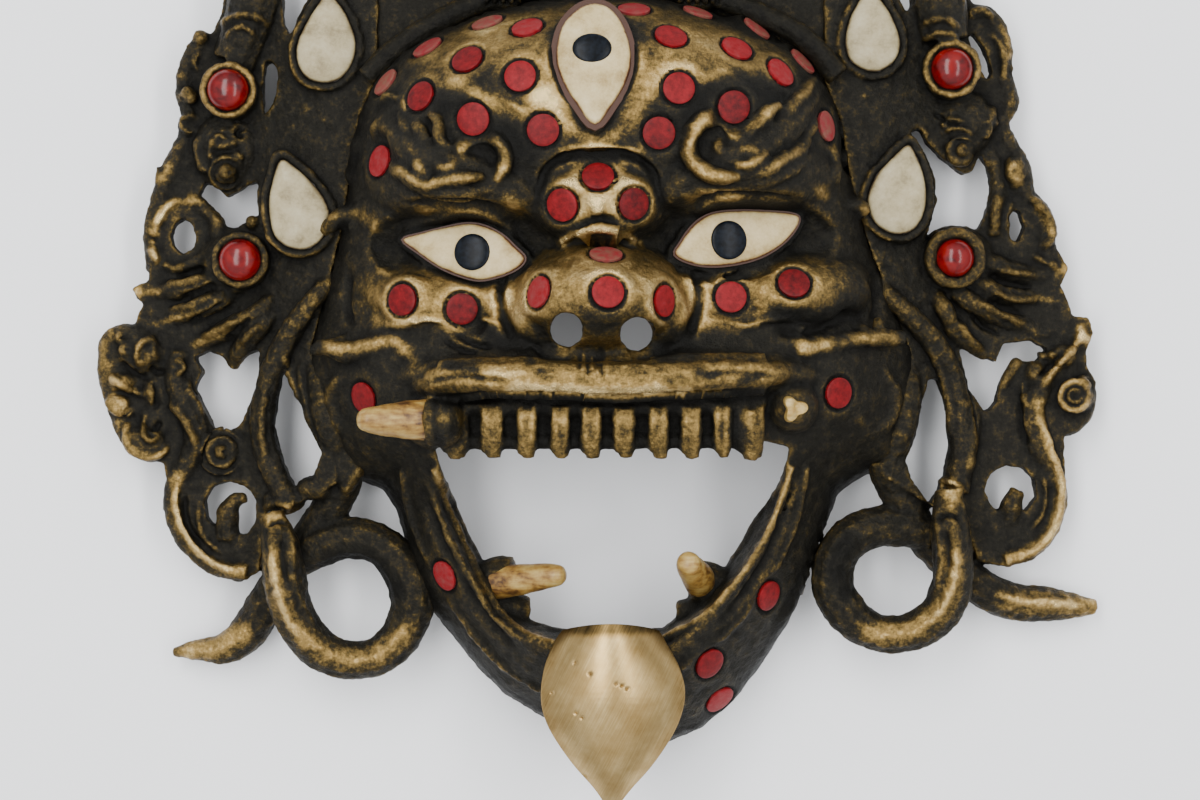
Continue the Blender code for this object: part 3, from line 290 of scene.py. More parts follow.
def ropes(name, routes, sides=3, steps=6):
    """Tapered round bars through points (u, v, height, radius). One that ends where it starts is a ring."""
    curve = bpy.data.curves.new(name, "CURVE")
    curve.dimensions = "3D"
    curve.bevel_depth = GRID
    curve.bevel_resolution = sides
    curve.use_fill_caps = True
    curve.resolution_u = steps
    for route in routes:
        ring = route[0][:2] == route[-1][:2]
        spline = curve.splines.new("BEZIER")
        spline.use_cyclic_u = ring
        points = route[:-1] if ring else route
        spline.bezier_points.add(len(points) - 1)
        for point, (u, v, h, radius) in zip(spline.bezier_points, points):
            point.co = at(u, v, h)
            point.radius = radius
            point.handle_left_type = point.handle_right_type = "AUTO"
    return baked(add_object(name, curve))


LUMP_SEGMENTS, LUMP_RINGS = 24, 14


def lump(bm, u, v, h, radii):
    """An egg-shaped lump with its three radii."""
    place = Matrix.Translation(at(u, v, h)) @ Matrix.Diagonal((*[r * GRID for r in radii], 1))
    bmesh.ops.create_uvsphere(bm, u_segments=LUMP_SEGMENTS, v_segments=LUMP_RINGS, radius=1, matrix=place)


def circle(u, v, radius, sides):
    return [(u + radius * math.cos(math.tau * i / sides), v + radius * math.sin(math.tau * i / sides))
            for i in range(sides)]


def rounded(route, steps=5):
    """A smooth line through a route's points, which may carry further values."""
    points = np.array(route, float)
    if len(points) < 3:
        return points
    ends = np.vstack([2 * points[0] - points[1], points, 2 * points[-1] - points[-2]])
    if np.allclose(points[0], points[-1]):
        ends[0], ends[-1] = points[-2], points[1]
    line = []
    for a, b, c, d in zip(ends, ends[1:], ends[2:], ends[3:]):
        for i in range(steps):
            t = i / steps
            line.append(0.5 * (2 * b + (c - a) * t + (2 * a - 5 * b + 4 * c - d) * t * t
                               + (3 * b - a - 3 * c + d) * t**3))
    line.append(points[-1])
    return np.array(line)


def fused(name, parts, grain):
    """The parts joined and fused into one skin."""
    whole = bmesh.new()
    for part in parts:
        whole.from_mesh(part.data)
        bpy.data.objects.remove(part, do_unlink=True)
    mesh = bpy.data.meshes.new(name)
    whole.to_mesh(mesh)
    whole.free()
    item = add_object(name, mesh)
    add_modifier(item, "REMESH", mode="VOXEL", voxel_size=grain)
    add_modifier(item, "SMOOTH", factor=0.5, iterations=2)
    return baked(item)


# The wear of plain metal, how little a face may turn to the camera and still be worked, the rounds of
# smoothing that edges are measured against, the metres that count as one, and the limits of edge wear
# and of wear with painted highlights.
DARK_WEAR = 0.30
LEAST_FACING = 0.08
WEAR_ROUNDS = (3, 10, 32)
WEAR_UNIT = 0.00006
EDGE_WEAR = (-0.35, 0.24)
WEAR_AND_HIGHLIGHT_LIMITS = (-1, 1.6)


class Skin:
    """A fused casting while it is worked: its vertices, how the camera sees them, and their wear."""

    def __init__(self, item, rub):
        self.mesh = item.data
        count = len(self.mesh.vertices)
        self.co = np.empty(count * 3, np.float32)
        self.mesh.vertices.foreach_get("co", self.co)
        self.co = self.co.reshape(-1, 3).astype(float)
        ends = np.empty(len(self.mesh.edges) * 2, np.int32)
        self.mesh.edges.foreach_get("vertices", ends)
        self.ends = ends.reshape(-1, 2)
        self.gold = np.zeros(count)
        self.rub = rub
        self.look()

    def look(self):
        """Take the normals and the camera's view of each vertex again."""
        self.mesh.vertices.foreach_set("co", self.co.astype(np.float32).ravel())
        self.mesh.update()
        normal = np.empty(len(self.co) * 3, np.float32)
        self.mesh.vertex_normals.foreach_get("vector", normal)
        self.normal = normal.reshape(-1, 3).astype(float)
        spread = (EYE_HEIGHT - self.co[:, 2] / GRID) / (EYE_HEIGHT - DRAWN_HEIGHT) * GRID
        self.u = GRID_MIDDLE[0] + (self.co[:, 0] - EYE.x) / spread
        self.v = GRID_MIDDLE[1] - (self.co[:, 1] - EYE.y) / spread
        sight = np.array(EYE) - self.co
        self.facing = (self.normal * sight).sum(1) / np.linalg.norm(sight, axis=1)

    def near(self, route, reach):
        """Which facing vertices lie within reach of a route, how far from it, and how far along it."""
        line = rounded([point[:2] for point in route])
        low, high = line.min(0) - reach, line.max(0) + reach
        found = np.flatnonzero((self.facing > LEAST_FACING) & (self.u > low[0]) & (self.u < high[0])
                               & (self.v > low[1]) & (self.v < high[1]))
        u, v = self.u[found], self.v[found]
        best, share = np.full(len(found), np.inf), np.zeros(len(found))
        for number, ((u0, v0), (u1, v1)) in enumerate(zip(line, line[1:])):
            du, dv = u1 - u0, v1 - v0
            t = np.clip(((u - u0) * du + (v - v0) * dv) / (du * du + dv * dv + 1e-9), 0, 1)
            off = np.hypot(u - u0 - t * du, v - v0 - t * dv)
            closer = off < best
            best[closer] = off[closer]
            share[closer] = (number + t[closer]) / (len(line) - 1)
        keep = best < reach
        return found[keep], best[keep], share[keep]

    def stroke(self, route, reach, lift, taper=0.25):
        """Raise a ridge along a route, or press a groove where lift is below zero. Its ends taper off."""
        found, off, share = self.near(route, reach)
        if taper:
            ends = smooth_step(np.minimum(share, 1 - share) / taper)
        else:
            ends = 1.0
        rise = lift * GRID * 0.5 * (1 + np.cos(math.pi * off / reach)) * ends
        self.co[found] += self.normal[found] * rise[:, None]

    def gild(self, route, reach, amount):
        """Make a route brighter, as wear or as a painted highlight, or darken it where amount is below zero.
        """
        found, off, _ = self.near(route, reach)
        self.gold[found] += amount * smooth_step(1 - off / reach)

    def roughen(self, size, depth, seed):
        """Uneven cast skin with lumps of a size in metres."""
        shift = Vector((seed * 7.1, seed * 3.7, seed * 1.3))
        lift = np.array([noise.fractal(Vector(spot) / size + shift, 1.0, 2.0, 3) for spot in self.co])
        self.co += self.normal * (lift * depth)[:, None]

    def mark_wear_and_highlight(self):
        """How far each vertex stands out from its surroundings, near and far, plus the routes' wear and
        painted highlights.
        """
        count = np.bincount(self.ends.ravel(), minlength=len(self.co))[:, None]
        soft, raised = self.co.copy(), np.zeros(len(self.co))
        for step in range(1, WEAR_ROUNDS[-1] + 1):
            total = np.stack([np.bincount(self.ends[:, 0], soft[self.ends[:, 1], axis], len(soft))
                              + np.bincount(self.ends[:, 1], soft[self.ends[:, 0], axis], len(soft))
                              for axis in range(3)], axis=1)
            soft = total / count
            if step in WEAR_ROUNDS:
                raised += ((self.co - soft) * self.normal).sum(1) / (WEAR_UNIT * math.sqrt(step))
        edges = np.clip(raised * self.rub, *EDGE_WEAR)
        wear_and_highlight = self.mesh.attributes.new("wear_and_highlight", "FLOAT", "POINT")
        wear_and_highlight.data.foreach_set("value", np.clip(DARK_WEAR + edges + self.gold, *WEAR_AND_HIGHLIGHT_LIMITS).astype(np.float32))


FACES_PER_PIECE = 190000


def finish_casting(item, skin, finish):
    """The worked skin as a finished piece of the casting."""
    skin.look()
    skin.mark_wear_and_highlight()
    faces = sum(len(face.vertices) - 2 for face in item.data.polygons)
    if faces > FACES_PER_PIECE:
        add_modifier(item, "DECIMATE", ratio=FACES_PER_PIECE / faces)
        item = baked(item)
    item.data.materials.clear()
    item.data.materials.append(finish)
    item.data.shade_smooth()
    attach(item, "root")
    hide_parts("casting")


# Patinated brass: cast brass blackened with a chemical patina and rubbed back, so hollows stay olive black
# and high points show worn gold. The patina is a dull thin crust, and the bare metal has a satin shine.
# The worn patches break up at 4 mm and at 0.9 mm, and the cast skin is pitted at about 1 mm.
PATINA_STOPS = [(0.0, "#0B0A07"), (0.26, "#1A1812"), (0.38, "#302919"), (0.50, "#61502E"), (0.68, "#927847"),
                (1.0, "#D3BA84")]
brass, tree, shader, place = new_material("patinated_brass", specular_ior_level=0.14)
# The attribute read here holds the wear, and on the side pieces also a painted highlight along the drop
# bezels.
wear_and_highlight = add_node(tree, "ShaderNodeAttribute", attribute_name="wear_and_highlight").outputs["Fac"]
broad = add_node(tree, "ShaderNodeTexNoise",
                 {"Vector": place, "Scale": 250.0, "Detail": 4.0, "Roughness": 0.6})
fine = add_node(tree, "ShaderNodeTexNoise",
                {"Vector": place, "Scale": 1100.0, "Detail": 4.0, "Roughness": 0.65})
patchy = add_node(tree, "ShaderNodeMath", {0: broad.outputs["Fac"], 1: 0.45, 2: wear_and_highlight},
                  operation="MULTIPLY_ADD")
broken = add_node(tree, "ShaderNodeMath", {0: fine.outputs["Fac"], 1: 0.55, 2: patchy.outputs["Value"]},
                  operation="MULTIPLY_ADD")
level = add_node(tree, "ShaderNodeMapRange",
                 {"Value": broken.outputs["Value"], "From Min": 0.58, "From Max": 1.58})
colour = add_node(tree, "ShaderNodeValToRGB", {"Fac": level.outputs["Result"]}, PATINA_STOPS)
metal = add_node(tree, "ShaderNodeMapRange",
                 {"Value": level.outputs["Result"], "From Min": 0.3, "From Max": 0.5,
                                              "To Min": 0.25, "To Max": 1.0})
gloss = add_node(tree, "ShaderNodeMapRange",
                 {"Value": level.outputs["Result"], "From Min": 0.2, "From Max": 0.9,
                                              "To Min": 0.55, "To Max": 0.27})
pits = add_node(tree, "ShaderNodeTexNoise",
                {"Vector": place, "Scale": 900.0, "Detail": 5.0, "Roughness": 0.7})
bump = add_node(tree, "ShaderNodeBump", {"Height": pits.outputs["Fac"], "Strength": 0.8, "Distance": 0.0007})
tree.links.new(colour.outputs["Color"], shader.inputs["Base Color"])
tree.links.new(metal.outputs["Result"], shader.inputs["Metallic"])
tree.links.new(gloss.outputs["Result"], shader.inputs["Roughness"])
tree.links.new(bump.outputs["Normal"], shader.inputs["Normal"])


# What the carver laid on the face: brow curls, mouth corners, lip edges, teeth, eyelids and fang sockets.
# They are round bars of wax that sink a little into the shell and are fused with it.
TEETH = [(455, 24), (492, 19), (527, 17), (560, 16), (591, 17), (624, 18), (658, 17), (691, 18), (722, 15),
         (750, 26)]


def laid(points, lift, radius):
    return [(*on_face(u, v, lift), radius) for u, v in points]


END_SINK, END_SHARE = 4, 0.5


def tapered(route):
    """The bar with its ends thinned and sunk a little into what it lies on."""
    first, last = ((u, v, h - END_SINK, radius * END_SHARE) for u, v, h, radius in (route[0], route[-1]))
    return [first] + route[1:-1] + [last]


BROWS = [
    ([(460, 160), (461, 150), (464, 142), (472, 137), (485, 136), (496, 140), (503, 148), (506, 159),
      (503, 170), (496, 180)], 4, 7.5),
    ([(386, 162), (402, 172), (418, 184), (437, 191), (466, 193), (490, 190)], 1, 9),
    ([(400, 168), (415, 180), (428, 186), (439, 181), (453, 179), (466, 178), (484, 176)], 8, 6.5),
    ([(408, 142), (416, 155), (420, 168), (426, 177)], 8, 6.5),
    ([(428, 112), (438, 122), (439, 136), (445, 148), (452, 156), (452, 165), (444, 169),
      (438, 165)], 7, 6.5),
    ([(416, 116), (420, 130), (428, 146), (432, 160)], 5, 7),
    ([(399, 112), (405, 126), (408, 138), (404, 150)], 5, 7),
    ([(387, 120), (375, 128), (374, 140), (383, 147), (391, 149), (396, 140), (389, 125)], 4, 5.5),
    ([(380, 104), (386, 96), (399, 99)], 4, 5.5),
    ([(733, 146), (735, 134), (731, 124), (722, 117), (710, 118), (697, 126), (689, 141), (691, 158),
      (703, 171), (719, 177), (738, 176)], 6, 9),
    ([(733, 147), (726, 152), (718, 147), (720, 139)], 5, 6),
    ([(737, 136), (750, 126), (765, 114), (780, 104)], 8, 8), ([(748, 132), (762, 126), (777, 122)], 4, 7),
    ([(776, 127), (760, 125), (747, 137), (745, 147), (753, 153), (761, 148), (755, 145)], 7, 5.5),
    ([(783, 124), (790, 110), (804, 92), (815, 79)], 7, 8), ([(790, 132), (801, 118), (812, 98)], 5, 7.5),
    ([(736, 165), (749, 165), (759, 160), (767, 152)], 8, 6),
    ([(740, 176), (766, 170), (783, 160), (799, 151), (808, 138)], 5, 7.5),
    ([(736, 184), (766, 180), (790, 170), (812, 154)], 0, 8), ([(800, 142), (812, 126), (818, 104)], 3, 7),
]
LIDS = [
    ([(398, 240), (412, 226), (440, 219), (468, 214), (492, 218), (512, 230), (528, 254)], 0, 6),
    ([(404, 250), (424, 264), (452, 281), (484, 287), (512, 280), (528, 262)], -1, 5),
    ([(670, 258), (678, 236), (694, 216), (716, 205), (746, 203), (780, 205), (804, 214)], 0, 6),
    ([(676, 262), (700, 272), (728, 274), (762, 264), (790, 246), (803, 224)], -1, 5),
]

# The masses under the brow curls, and the upper lip, as (u, v, lift, radius).
BROW_MASSES = [
    [(374, 108, -24, 12), (408, 142, -12, 21), (432, 160, -12, 21), (464, 170, -13, 20),
     (500, 166, -26, 12)],
    [(690, 146, -26, 12), (734, 158, -13, 20), (766, 140, -12, 21), (790, 118, -12, 20), (814, 88, -24, 12)],
]
LIP = [(412, 388, -14, 8), (438, 381, -4, 14), (500, 377, 0, 17), (600, 380, 0, 18), (700, 376, 0, 17),
       (764, 374, -4, 14), (796, 372, -14, 8)]


def face_routes():
    routes = [tapered(laid(points, lift, radius)) for points, lift, radius in BROWS + LIDS]
    routes += [[(*on_face(u, v, lift), radius) for u, v, lift, radius in route]
               for route in BROW_MASSES + [LIP]]
    routes += [
        laid([(440, 368), (480, 366), (540, 366)], -1, 9), laid([(648, 366), (700, 362), (764, 362)], -1, 9),
        laid([(432, 396), (500, 391), (560, 392), (605, 395), (680, 392), (764, 388)], 3, 8),
        laid([(440, 408), (500, 406), (600, 408), (700, 406), (764, 402)], -5, 9),
        [(312, 350, 118, 5), (326, 347, 128, 9), (345, 352, 136, 11), (372, 347, 148, 12),
         (394, 342, 160, 9), (406, 351, 166, 11), (414, 368, 164, 5)],
        [(340, 336, 128, 5), (342, 346, 130, 6)],
        [(801, 326, 168, 5), (800, 346, 166, 13), (822, 345, 156, 10), (850, 340, 142, 8),
         (876, 338, 130, 9), (903, 338, 114, 8)],
        [(862, 325, 132, 4), (864, 338, 132, 6)], [(877, 318, 126, 4), (880, 336, 124, 6)],
        [(384, 228, 126, 7), (368, 214, 118, 10), (350, 214, 108, 9), (336, 220, 100, 10),
         (324, 232, 92, 7)],
        [(352, 224, 110, 7), (362, 236, 114, 6), (376, 238, 120, 5)],
        [(814, 196, 128, 6), (822, 190, 124, 8), (834, 198, 118, 9), (832, 212, 118, 7)],
        [(840, 206, 114, 6), (854, 204, 106, 8), (864, 211, 96, 9)],
        [(428, 421, 190, 24), (438, 421, 192, 24)],
        laid([(562, 242), (573, 234), (590, 231), (606, 231), (622, 234), (636, 242)], 2, 4),
        laid([(576, 232), (596, 226), (618, 230)], 4, 7),
        laid([(536, 186), (543, 166), (562, 152), (598, 147), (636, 152), (656, 168), (662, 190)], -2, 4),
        laid([(434, 468), (450, 512), (467, 549), (486, 588), (504, 616), (530, 636), (558, 644)], 1, 4.5),
        laid([(792, 466), (772, 525), (738, 580), (704, 616), (662, 640)], 1, 4.5),
        laid([(402, 470), (412, 520), (432, 568), (458, 612), (500, 664), (540, 690)], 0, 4),
        laid([(806, 468), (796, 520), (776, 566), (746, 612), (708, 650), (680, 668)], 0, 4),
    ]
    for u, width in TEETH:
        top = float(face_and_skirt(u, 404)[0])
        for side in (-1, 1):
            edge = u + side * (width * 0.5 - 3)
            routes.append([(edge, 407, top + 1, 5), (edge, 430, top + 1, 5.5),
                           (edge - side * 1, 452, top - 8, 5)])
        routes.append([(u, 410, top - 1, width * 0.42), (u, 430, top - 1, width * 0.42),
                       (u + 2, 457, top - 10, width * 0.40)])
    routes.append([(u, 441, float(face_and_skirt(u, 404)[0]) - 13, 8) for u, _ in TEETH])
    for (u, v, h), turn in (((504, 577, 102), 1), ((702, 582, 102), -1)):
        routes.append([(u - 34 * turn, v + 6, h - 6, 18), (u, v, h, 22), (u + 10 * turn, v - 1, h + 2, 20)])
        routes.append([(u - 8 * turn, v + 30, h - 8, 20), (u + 24 * turn, v + 34, h - 14, 15)])
    return routes


CUT_HEIGHT = 120
CUT_BELOW, CUT_LENGTH = 0.03, 0.15


def shell():
    """A sheet raised to the face's height, given its wall, and opened at the mouth and nostrils."""
    def build(bm):
        across, down = (2 * reach // SHELL_STEP for reach in SHELL_REACH)
        bmesh.ops.create_grid(bm, x_segments=across, y_segments=down, size=1)
        places = [tuple(middle + share * reach
                        for middle, share, reach in zip(SHELL_MIDDLE, vertex.co, SHELL_REACH))
                  for vertex in bm.verts]
        heights, drops = face_and_skirt(*np.array(places).T)
        for vertex, (u, v), h, drop in zip(bm.verts, places, heights, drops):
            vertex.co = at(u, v, float(h)) - Vector((0, 0, min(drop, h + BELOW_TABLE) * GRID))

    def cut(bm):
        for outline in [MOUTH_OUTLINE] + [circle(u, v, NOSTRIL_RADIUS, 24) for u, v in NOSTRILS]:
            ring = [bm.verts.new((*at(u, v, CUT_HEIGHT).xy, -CUT_BELOW)) for u, v in outline]
            grown = bmesh.ops.extrude_face_region(bm, geom=[bm.faces.new(ring)])
            top = [g for g in grown["geom"] if isinstance(g, bmesh.types.BMVert)]
            bmesh.ops.translate(bm, verts=top, vec=(0, 0, CUT_LENGTH))

    item = add_object("shell", mesh_from("shell", build))
    if item.data.polygons[0].normal.z < 0:
        item.data.flip_normals()
    add_modifier(item, "SOLIDIFY", thickness=WALL, offset=-1)
    item = baked(item)
    cut_flat(item)
    cutter = add_object("openings", mesh_from("openings", cut))
    add_modifier(item, "BOOLEAN", object=cutter, operation="DIFFERENCE", solver="EXACT")
    item = baked(item)
    bpy.data.objects.remove(cutter, do_unlink=True)
    return item


def cut_flat(item):
    """Cut off what lies below the table top, and close the flat back rim that this leaves."""
    bm = bmesh.new()
    bm.from_mesh(item.data)
    cut = bmesh.ops.bisect_plane(bm, geom=bm.verts[:] + bm.edges[:] + bm.faces[:], plane_co=(0, 0, 0),
                                 plane_no=(0, 0, -1), clear_outer=True)
    edges = [g for g in cut["geom_cut"] if isinstance(g, bmesh.types.BMEdge)]
    bmesh.ops.triangle_fill(bm, edges=edges, use_beauty=True, use_dissolve=False, normal=(0, 0, -1))
    bm.to_mesh(item.data)
    bm.free()


# Settings: raised blocks that the eyes, drops and cabochons are let into, cast in one with their ground.
# Each outline is drawn as the camera sees it and lies in a plane of its own.
RIM_WIDTH = 8
EYE_RIM_WIDTH = 6
DROP_RIM, GEM_RIM = 92, 84
GEM_SIDES = 12
RIM_SINK = 0.0003
SETTING_DEPTH = 34
DROPS = {
    "drop_left_upper": [(328, -6), (342, 8), (352, 28), (356, 48), (350, 68), (338, 80), (322, 83),
                        (307, 78), (298, 64), (297, 46), (305, 26), (316, 8)],
    "drop_left_lower": [(281, 160), (296, 168), (313, 184), (326, 202), (330, 218), (325, 235), (314, 246),
                        (300, 250), (284, 245), (273, 232), (269, 205), (273, 180)],
    "drop_right_upper": [(868, -10), (882, 2), (893, 20), (900, 42), (895, 60), (880, 71), (864, 70),
                         (850, 60), (845, 44), (848, 24), (856, 6)],
    "drop_right_lower": [(908, 145), (917, 158), (924, 178), (926, 200), (921, 220), (910, 232), (894, 234),
                         (878, 226), (869, 212), (868, 196), (876, 176), (892, 158)],
}
EYES = {
    "eye_left": [(403, 240), (420, 234), (440, 229), (465, 224), (484, 226), (502, 235), (515, 247),
                 (525, 258), (518, 268), (500, 276), (479, 280), (458, 275), (438, 266), (419, 253)],
    "eye_right": [(675, 255), (681, 242), (690, 229), (701, 219), (716, 213), (742, 211), (770, 212),
                  (792, 214),
                  (799, 219), (794, 231), (782, 244), (765, 255), (745, 262), (718, 266), (694, 264)],
    "eye_third": [(594, 4), (611, 10), (624, 28), (631, 56), (627, 80), (613, 104), (595, 125), (577, 105),
                  (562, 80), (556, 56), (562, 28), (577, 10)],
}
LEANS = {"eye_left": (166, 0.20, 0.05), "eye_right": (166, -0.20, 0.05), "eye_third": (214, 0.0, 0.26)}
PUPILS = {"eye_left": (472, 252, 18, 18), "eye_right": (729, 240, 18, 19), "eye_third": (592, 48, 19, 15)}
CABOCHONS = {
    "cabochon_left_upper": (228, 90, 21, 28),
    "cabochon_left_lower": (240, 260, 21, 28),
    "cabochon_right_upper": (952, 69, 21, 29),
    "cabochon_right_lower": (955, 258, 19, 30),
}


class Seat:
    """A flat seat for an inlay: a plane through a point, and an outline in that plane."""

    def __init__(self, middle, normal, ring=()):
        self.middle = middle
        self.normal = normal.normalized()
        self.across = Vector((0, 1, 0)).cross(self.normal).normalized()
        self.up = self.normal.cross(self.across)
        self.ring = list(ring)

    def point(self, a, b, c):
        return self.middle + self.across * a + self.up * b + self.normal * c


def drawn_seat(outline, height, lean=(0.0, 0.0)):
    """The seat that the camera sees with this outline, in a leaning plane through its middle at a height."""
    middle = at(*(sum(values) / len(outline) for values in zip(*outline)), height)
    made = Seat(middle, Vector((-lean[0], lean[1], 1)))
    for u, v in rounded(outline + outline[:1], 4)[:-1]:
        sight = at(u, v, 0) - EYE
        reach = (made.middle - EYE).dot(made.normal) / sight.dot(made.normal)
        spot = EYE + sight * reach - made.middle
        made.ring.append((spot.dot(made.across), spot.dot(made.up)))
    return made


def grown_outline(outline, by):
    """The outline moved outwards."""
    count = len(outline)
    area = sum(a[0] * b[1] - b[0] * a[1] for a, b in zip(outline, outline[1:] + outline[:1]))
    turn = 1 if area > 0 else -1
    moved = []
    for i, here in enumerate(outline):
        back = Vector(here) - Vector(outline[i - 1])
        ahead = Vector(outline[(i + 1) % count]) - Vector(here)
        normals = [Vector((side.y, -side.x)).normalized() * turn for side in (back, ahead)]
        bisector = (normals[0] + normals[1]).normalized()
        moved.append(tuple(Vector(here) + bisector * by / max(bisector.dot(normals[0]), 0.5)))
    return moved


def moved_face(bm, grown, by):
    """The face among what an extrusion gave, moved by a vector."""
    face = [g for g in grown if isinstance(g, bmesh.types.BMFace)][0]
    bmesh.ops.translate(bm, verts=face.verts[:], vec=by)
    return face


def seat_block(bm, seat, grow, low, high, crown=0.0, rings=0):
    """A block over a seat's outline grown by metres, between two levels, domed if it has rings."""
    ring = grown_outline(seat.ring, grow) if grow else seat.ring
    floor_face = bm.faces.new([bm.verts.new(seat.point(a, b, low)) for a, b in ring])
    grown = bmesh.ops.extrude_face_region(bm, geom=[floor_face])["geom"]
    top = moved_face(bm, grown, seat.normal * (high - low))
    for number in range(1, rings + 1):
        turn, before = (math.pi / 2 * i / (rings + 1) for i in (number, number - 1))
        middle = seat.point(0, 0, high + crown * math.sin(turn))
        grown = bmesh.ops.extrude_discrete_faces(bm, faces=[top])["faces"]
        top = moved_face(bm, grown, seat.normal * crown * (math.sin(turn) - math.sin(before)))
        shrink = math.cos(turn) / math.cos(before)
        for vertex in top.verts:
            vertex.co = middle + (vertex.co - middle) * shrink
    if rings:
        bmesh.ops.poke(bm, faces=[top])


def setting_seats():
    """The seats of the drops, eyes and cabochons, by name, each with its rim's width in grid units."""
    made = {}
    for name, outline in DROPS.items():
        made[name] = (drawn_seat(outline, DROP_RIM), RIM_WIDTH)
    for name, outline in EYES.items():
        height, lean_across, lean_down = LEANS[name]
        made[name] = (drawn_seat(outline, height, (lean_across, lean_down)), EYE_RIM_WIDTH)
    for name, (u, v, radius, rim) in CABOCHONS.items():
        made[name] = (drawn_seat(circle(u, v, radius, GEM_SIDES), GEM_RIM), rim - radius)
    return made


SEATS = setting_seats()


def setting_blocks(name, wanted):
    """Blocks for the settings whose names hold a word, with a raised lip round each inlay."""
    def build(bm):
        for key, (seat, rim) in SEATS.items():
            if wanted in key:
                seat_block(bm, seat, rim * GRID, -SETTING_DEPTH * GRID, -RIM_SINK)
    return add_object(name, mesh_from(name, build))


# The collars of the upper fangs, and the chin, as (u, v, height, radii).
FACE_LUMPS = [(430, 421, 160, (27, 27, 44)), (447, 421, 178, (18, 27, 42)), (791, 406, 152, (28, 28, 44)),
              (612, 690, 150, (44, 64, 48))]


def face_lumps(bm):
    for spot in FACE_LUMPS:
        lump(bm, *spot)


DISCS = {
    "forehead": [(527, 27), (467, 59), (520, 76), (420, 96), (473, 119), (543, 130), (427, 47), (385, 82),
                 (379, 161), (487, 22), (671, 36), (737, 48), (781, 72), (679, 88), (734, 107), (659, 133),
                 (827, 126), (757, 28), (803, 61), (634, 9), (698, 12)],
    "bridge": [(598, 176), (562, 205), (634, 204)],
    "nose": [(608, 292), (538, 292), (665, 301), (606, 254)],
    "cheek": [(402, 300), (462, 309), (731, 297), (794, 283)],
    "jaw": [(363, 398), (839, 393), (710, 664), (720, 700), (769, 596), (444, 576)],
}
DISC_RADIUS = 0.0047
DISC_SINK = 0.0005
NORMAL_STEP = 9
GROOVE_WIDTH = 0.0009
GROOVE_DEPTH = 0.0006
DISC_GAP = 0.0004
FLAT_REACH, FLAT_RUN = 2.1, 0.9
PRESS_HEIGHT = 0.004
SETTING_SINK = 0.0004
SETTING_HEIGHT = 0.02
SETTING_REACH = 0.003
STAIN_FROM, STAIN_RUN = 0.001, 0.002
FACE_RUB = 0.034


def face_normal(u, v):
    steps = ((NORMAL_STEP, 0), (-NORMAL_STEP, 0), (0, NORMAL_STEP), (0, -NORMAL_STEP))
    right, left, down, up = (at(u + a, v + b, float(face_and_skirt(u + a, v + b)[0])) for a, b in steps)
    return (right - left).cross(up - down).normalized()


def disc_seats():
    """Each disc's name with the seat that the frame gives it, level with the metal round it."""
    for region, places in DISCS.items():
        for number, (u, v) in enumerate(places, 1):
            name = f"disc_{region}_{number:02d}"
            low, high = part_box(name)
            normal = face_normal(u, v)
            yield region, name, Seat((Vector(low) + Vector(high)) / 2 + normal * DISC_SINK, normal)


def press_seat(skin, seat):
    """Flatten the metal round a disc and cut the narrow groove that its edge stands in."""
    off = skin.co - np.array(seat.middle)
    rise = off @ np.array(seat.normal)
    out = np.sqrt(np.maximum((off**2).sum(1) - rise**2, 0))
    near = np.abs(rise) < PRESS_HEIGHT
    flat = smooth_step((FLAT_REACH * DISC_RADIUS - out) / (FLAT_RUN * DISC_RADIUS)) * near
    skin.co -= np.array(seat.normal) * (rise * flat)[:, None]
    groove = np.clip(1 - np.abs(out - DISC_RADIUS - DISC_GAP) / GROOVE_WIDTH, 0, 1) * near
    skin.co -= np.array(seat.normal) * (GROOVE_DEPTH * groove + GROOVE_DEPTH * (out < DISC_RADIUS)
                                        * near)[:, None]
    skin.gold -= 0.4 * groove


def press_setting(skin, seat):
    """Press the metal that stands over an inlay down to its seat, with a shoulder round it."""
    off = skin.co - np.array(seat.middle)
    rise = off @ np.array(seat.normal)
    inner = signed_distance(off @ np.array(seat.across), off @ np.array(seat.up), seat.ring)
    share = smooth_step(1 + inner / SETTING_REACH) * (rise > -SETTING_SINK) * (rise < SETTING_HEIGHT)
    skin.co -= np.array(seat.normal) * ((rise + SETTING_SINK) * share)[:, None]
    skin.gold -= 0.5 * smooth_step(1 + (inner + STAIN_FROM) / STAIN_RUN) * (np.abs(rise) < SETTING_HEIGHT)


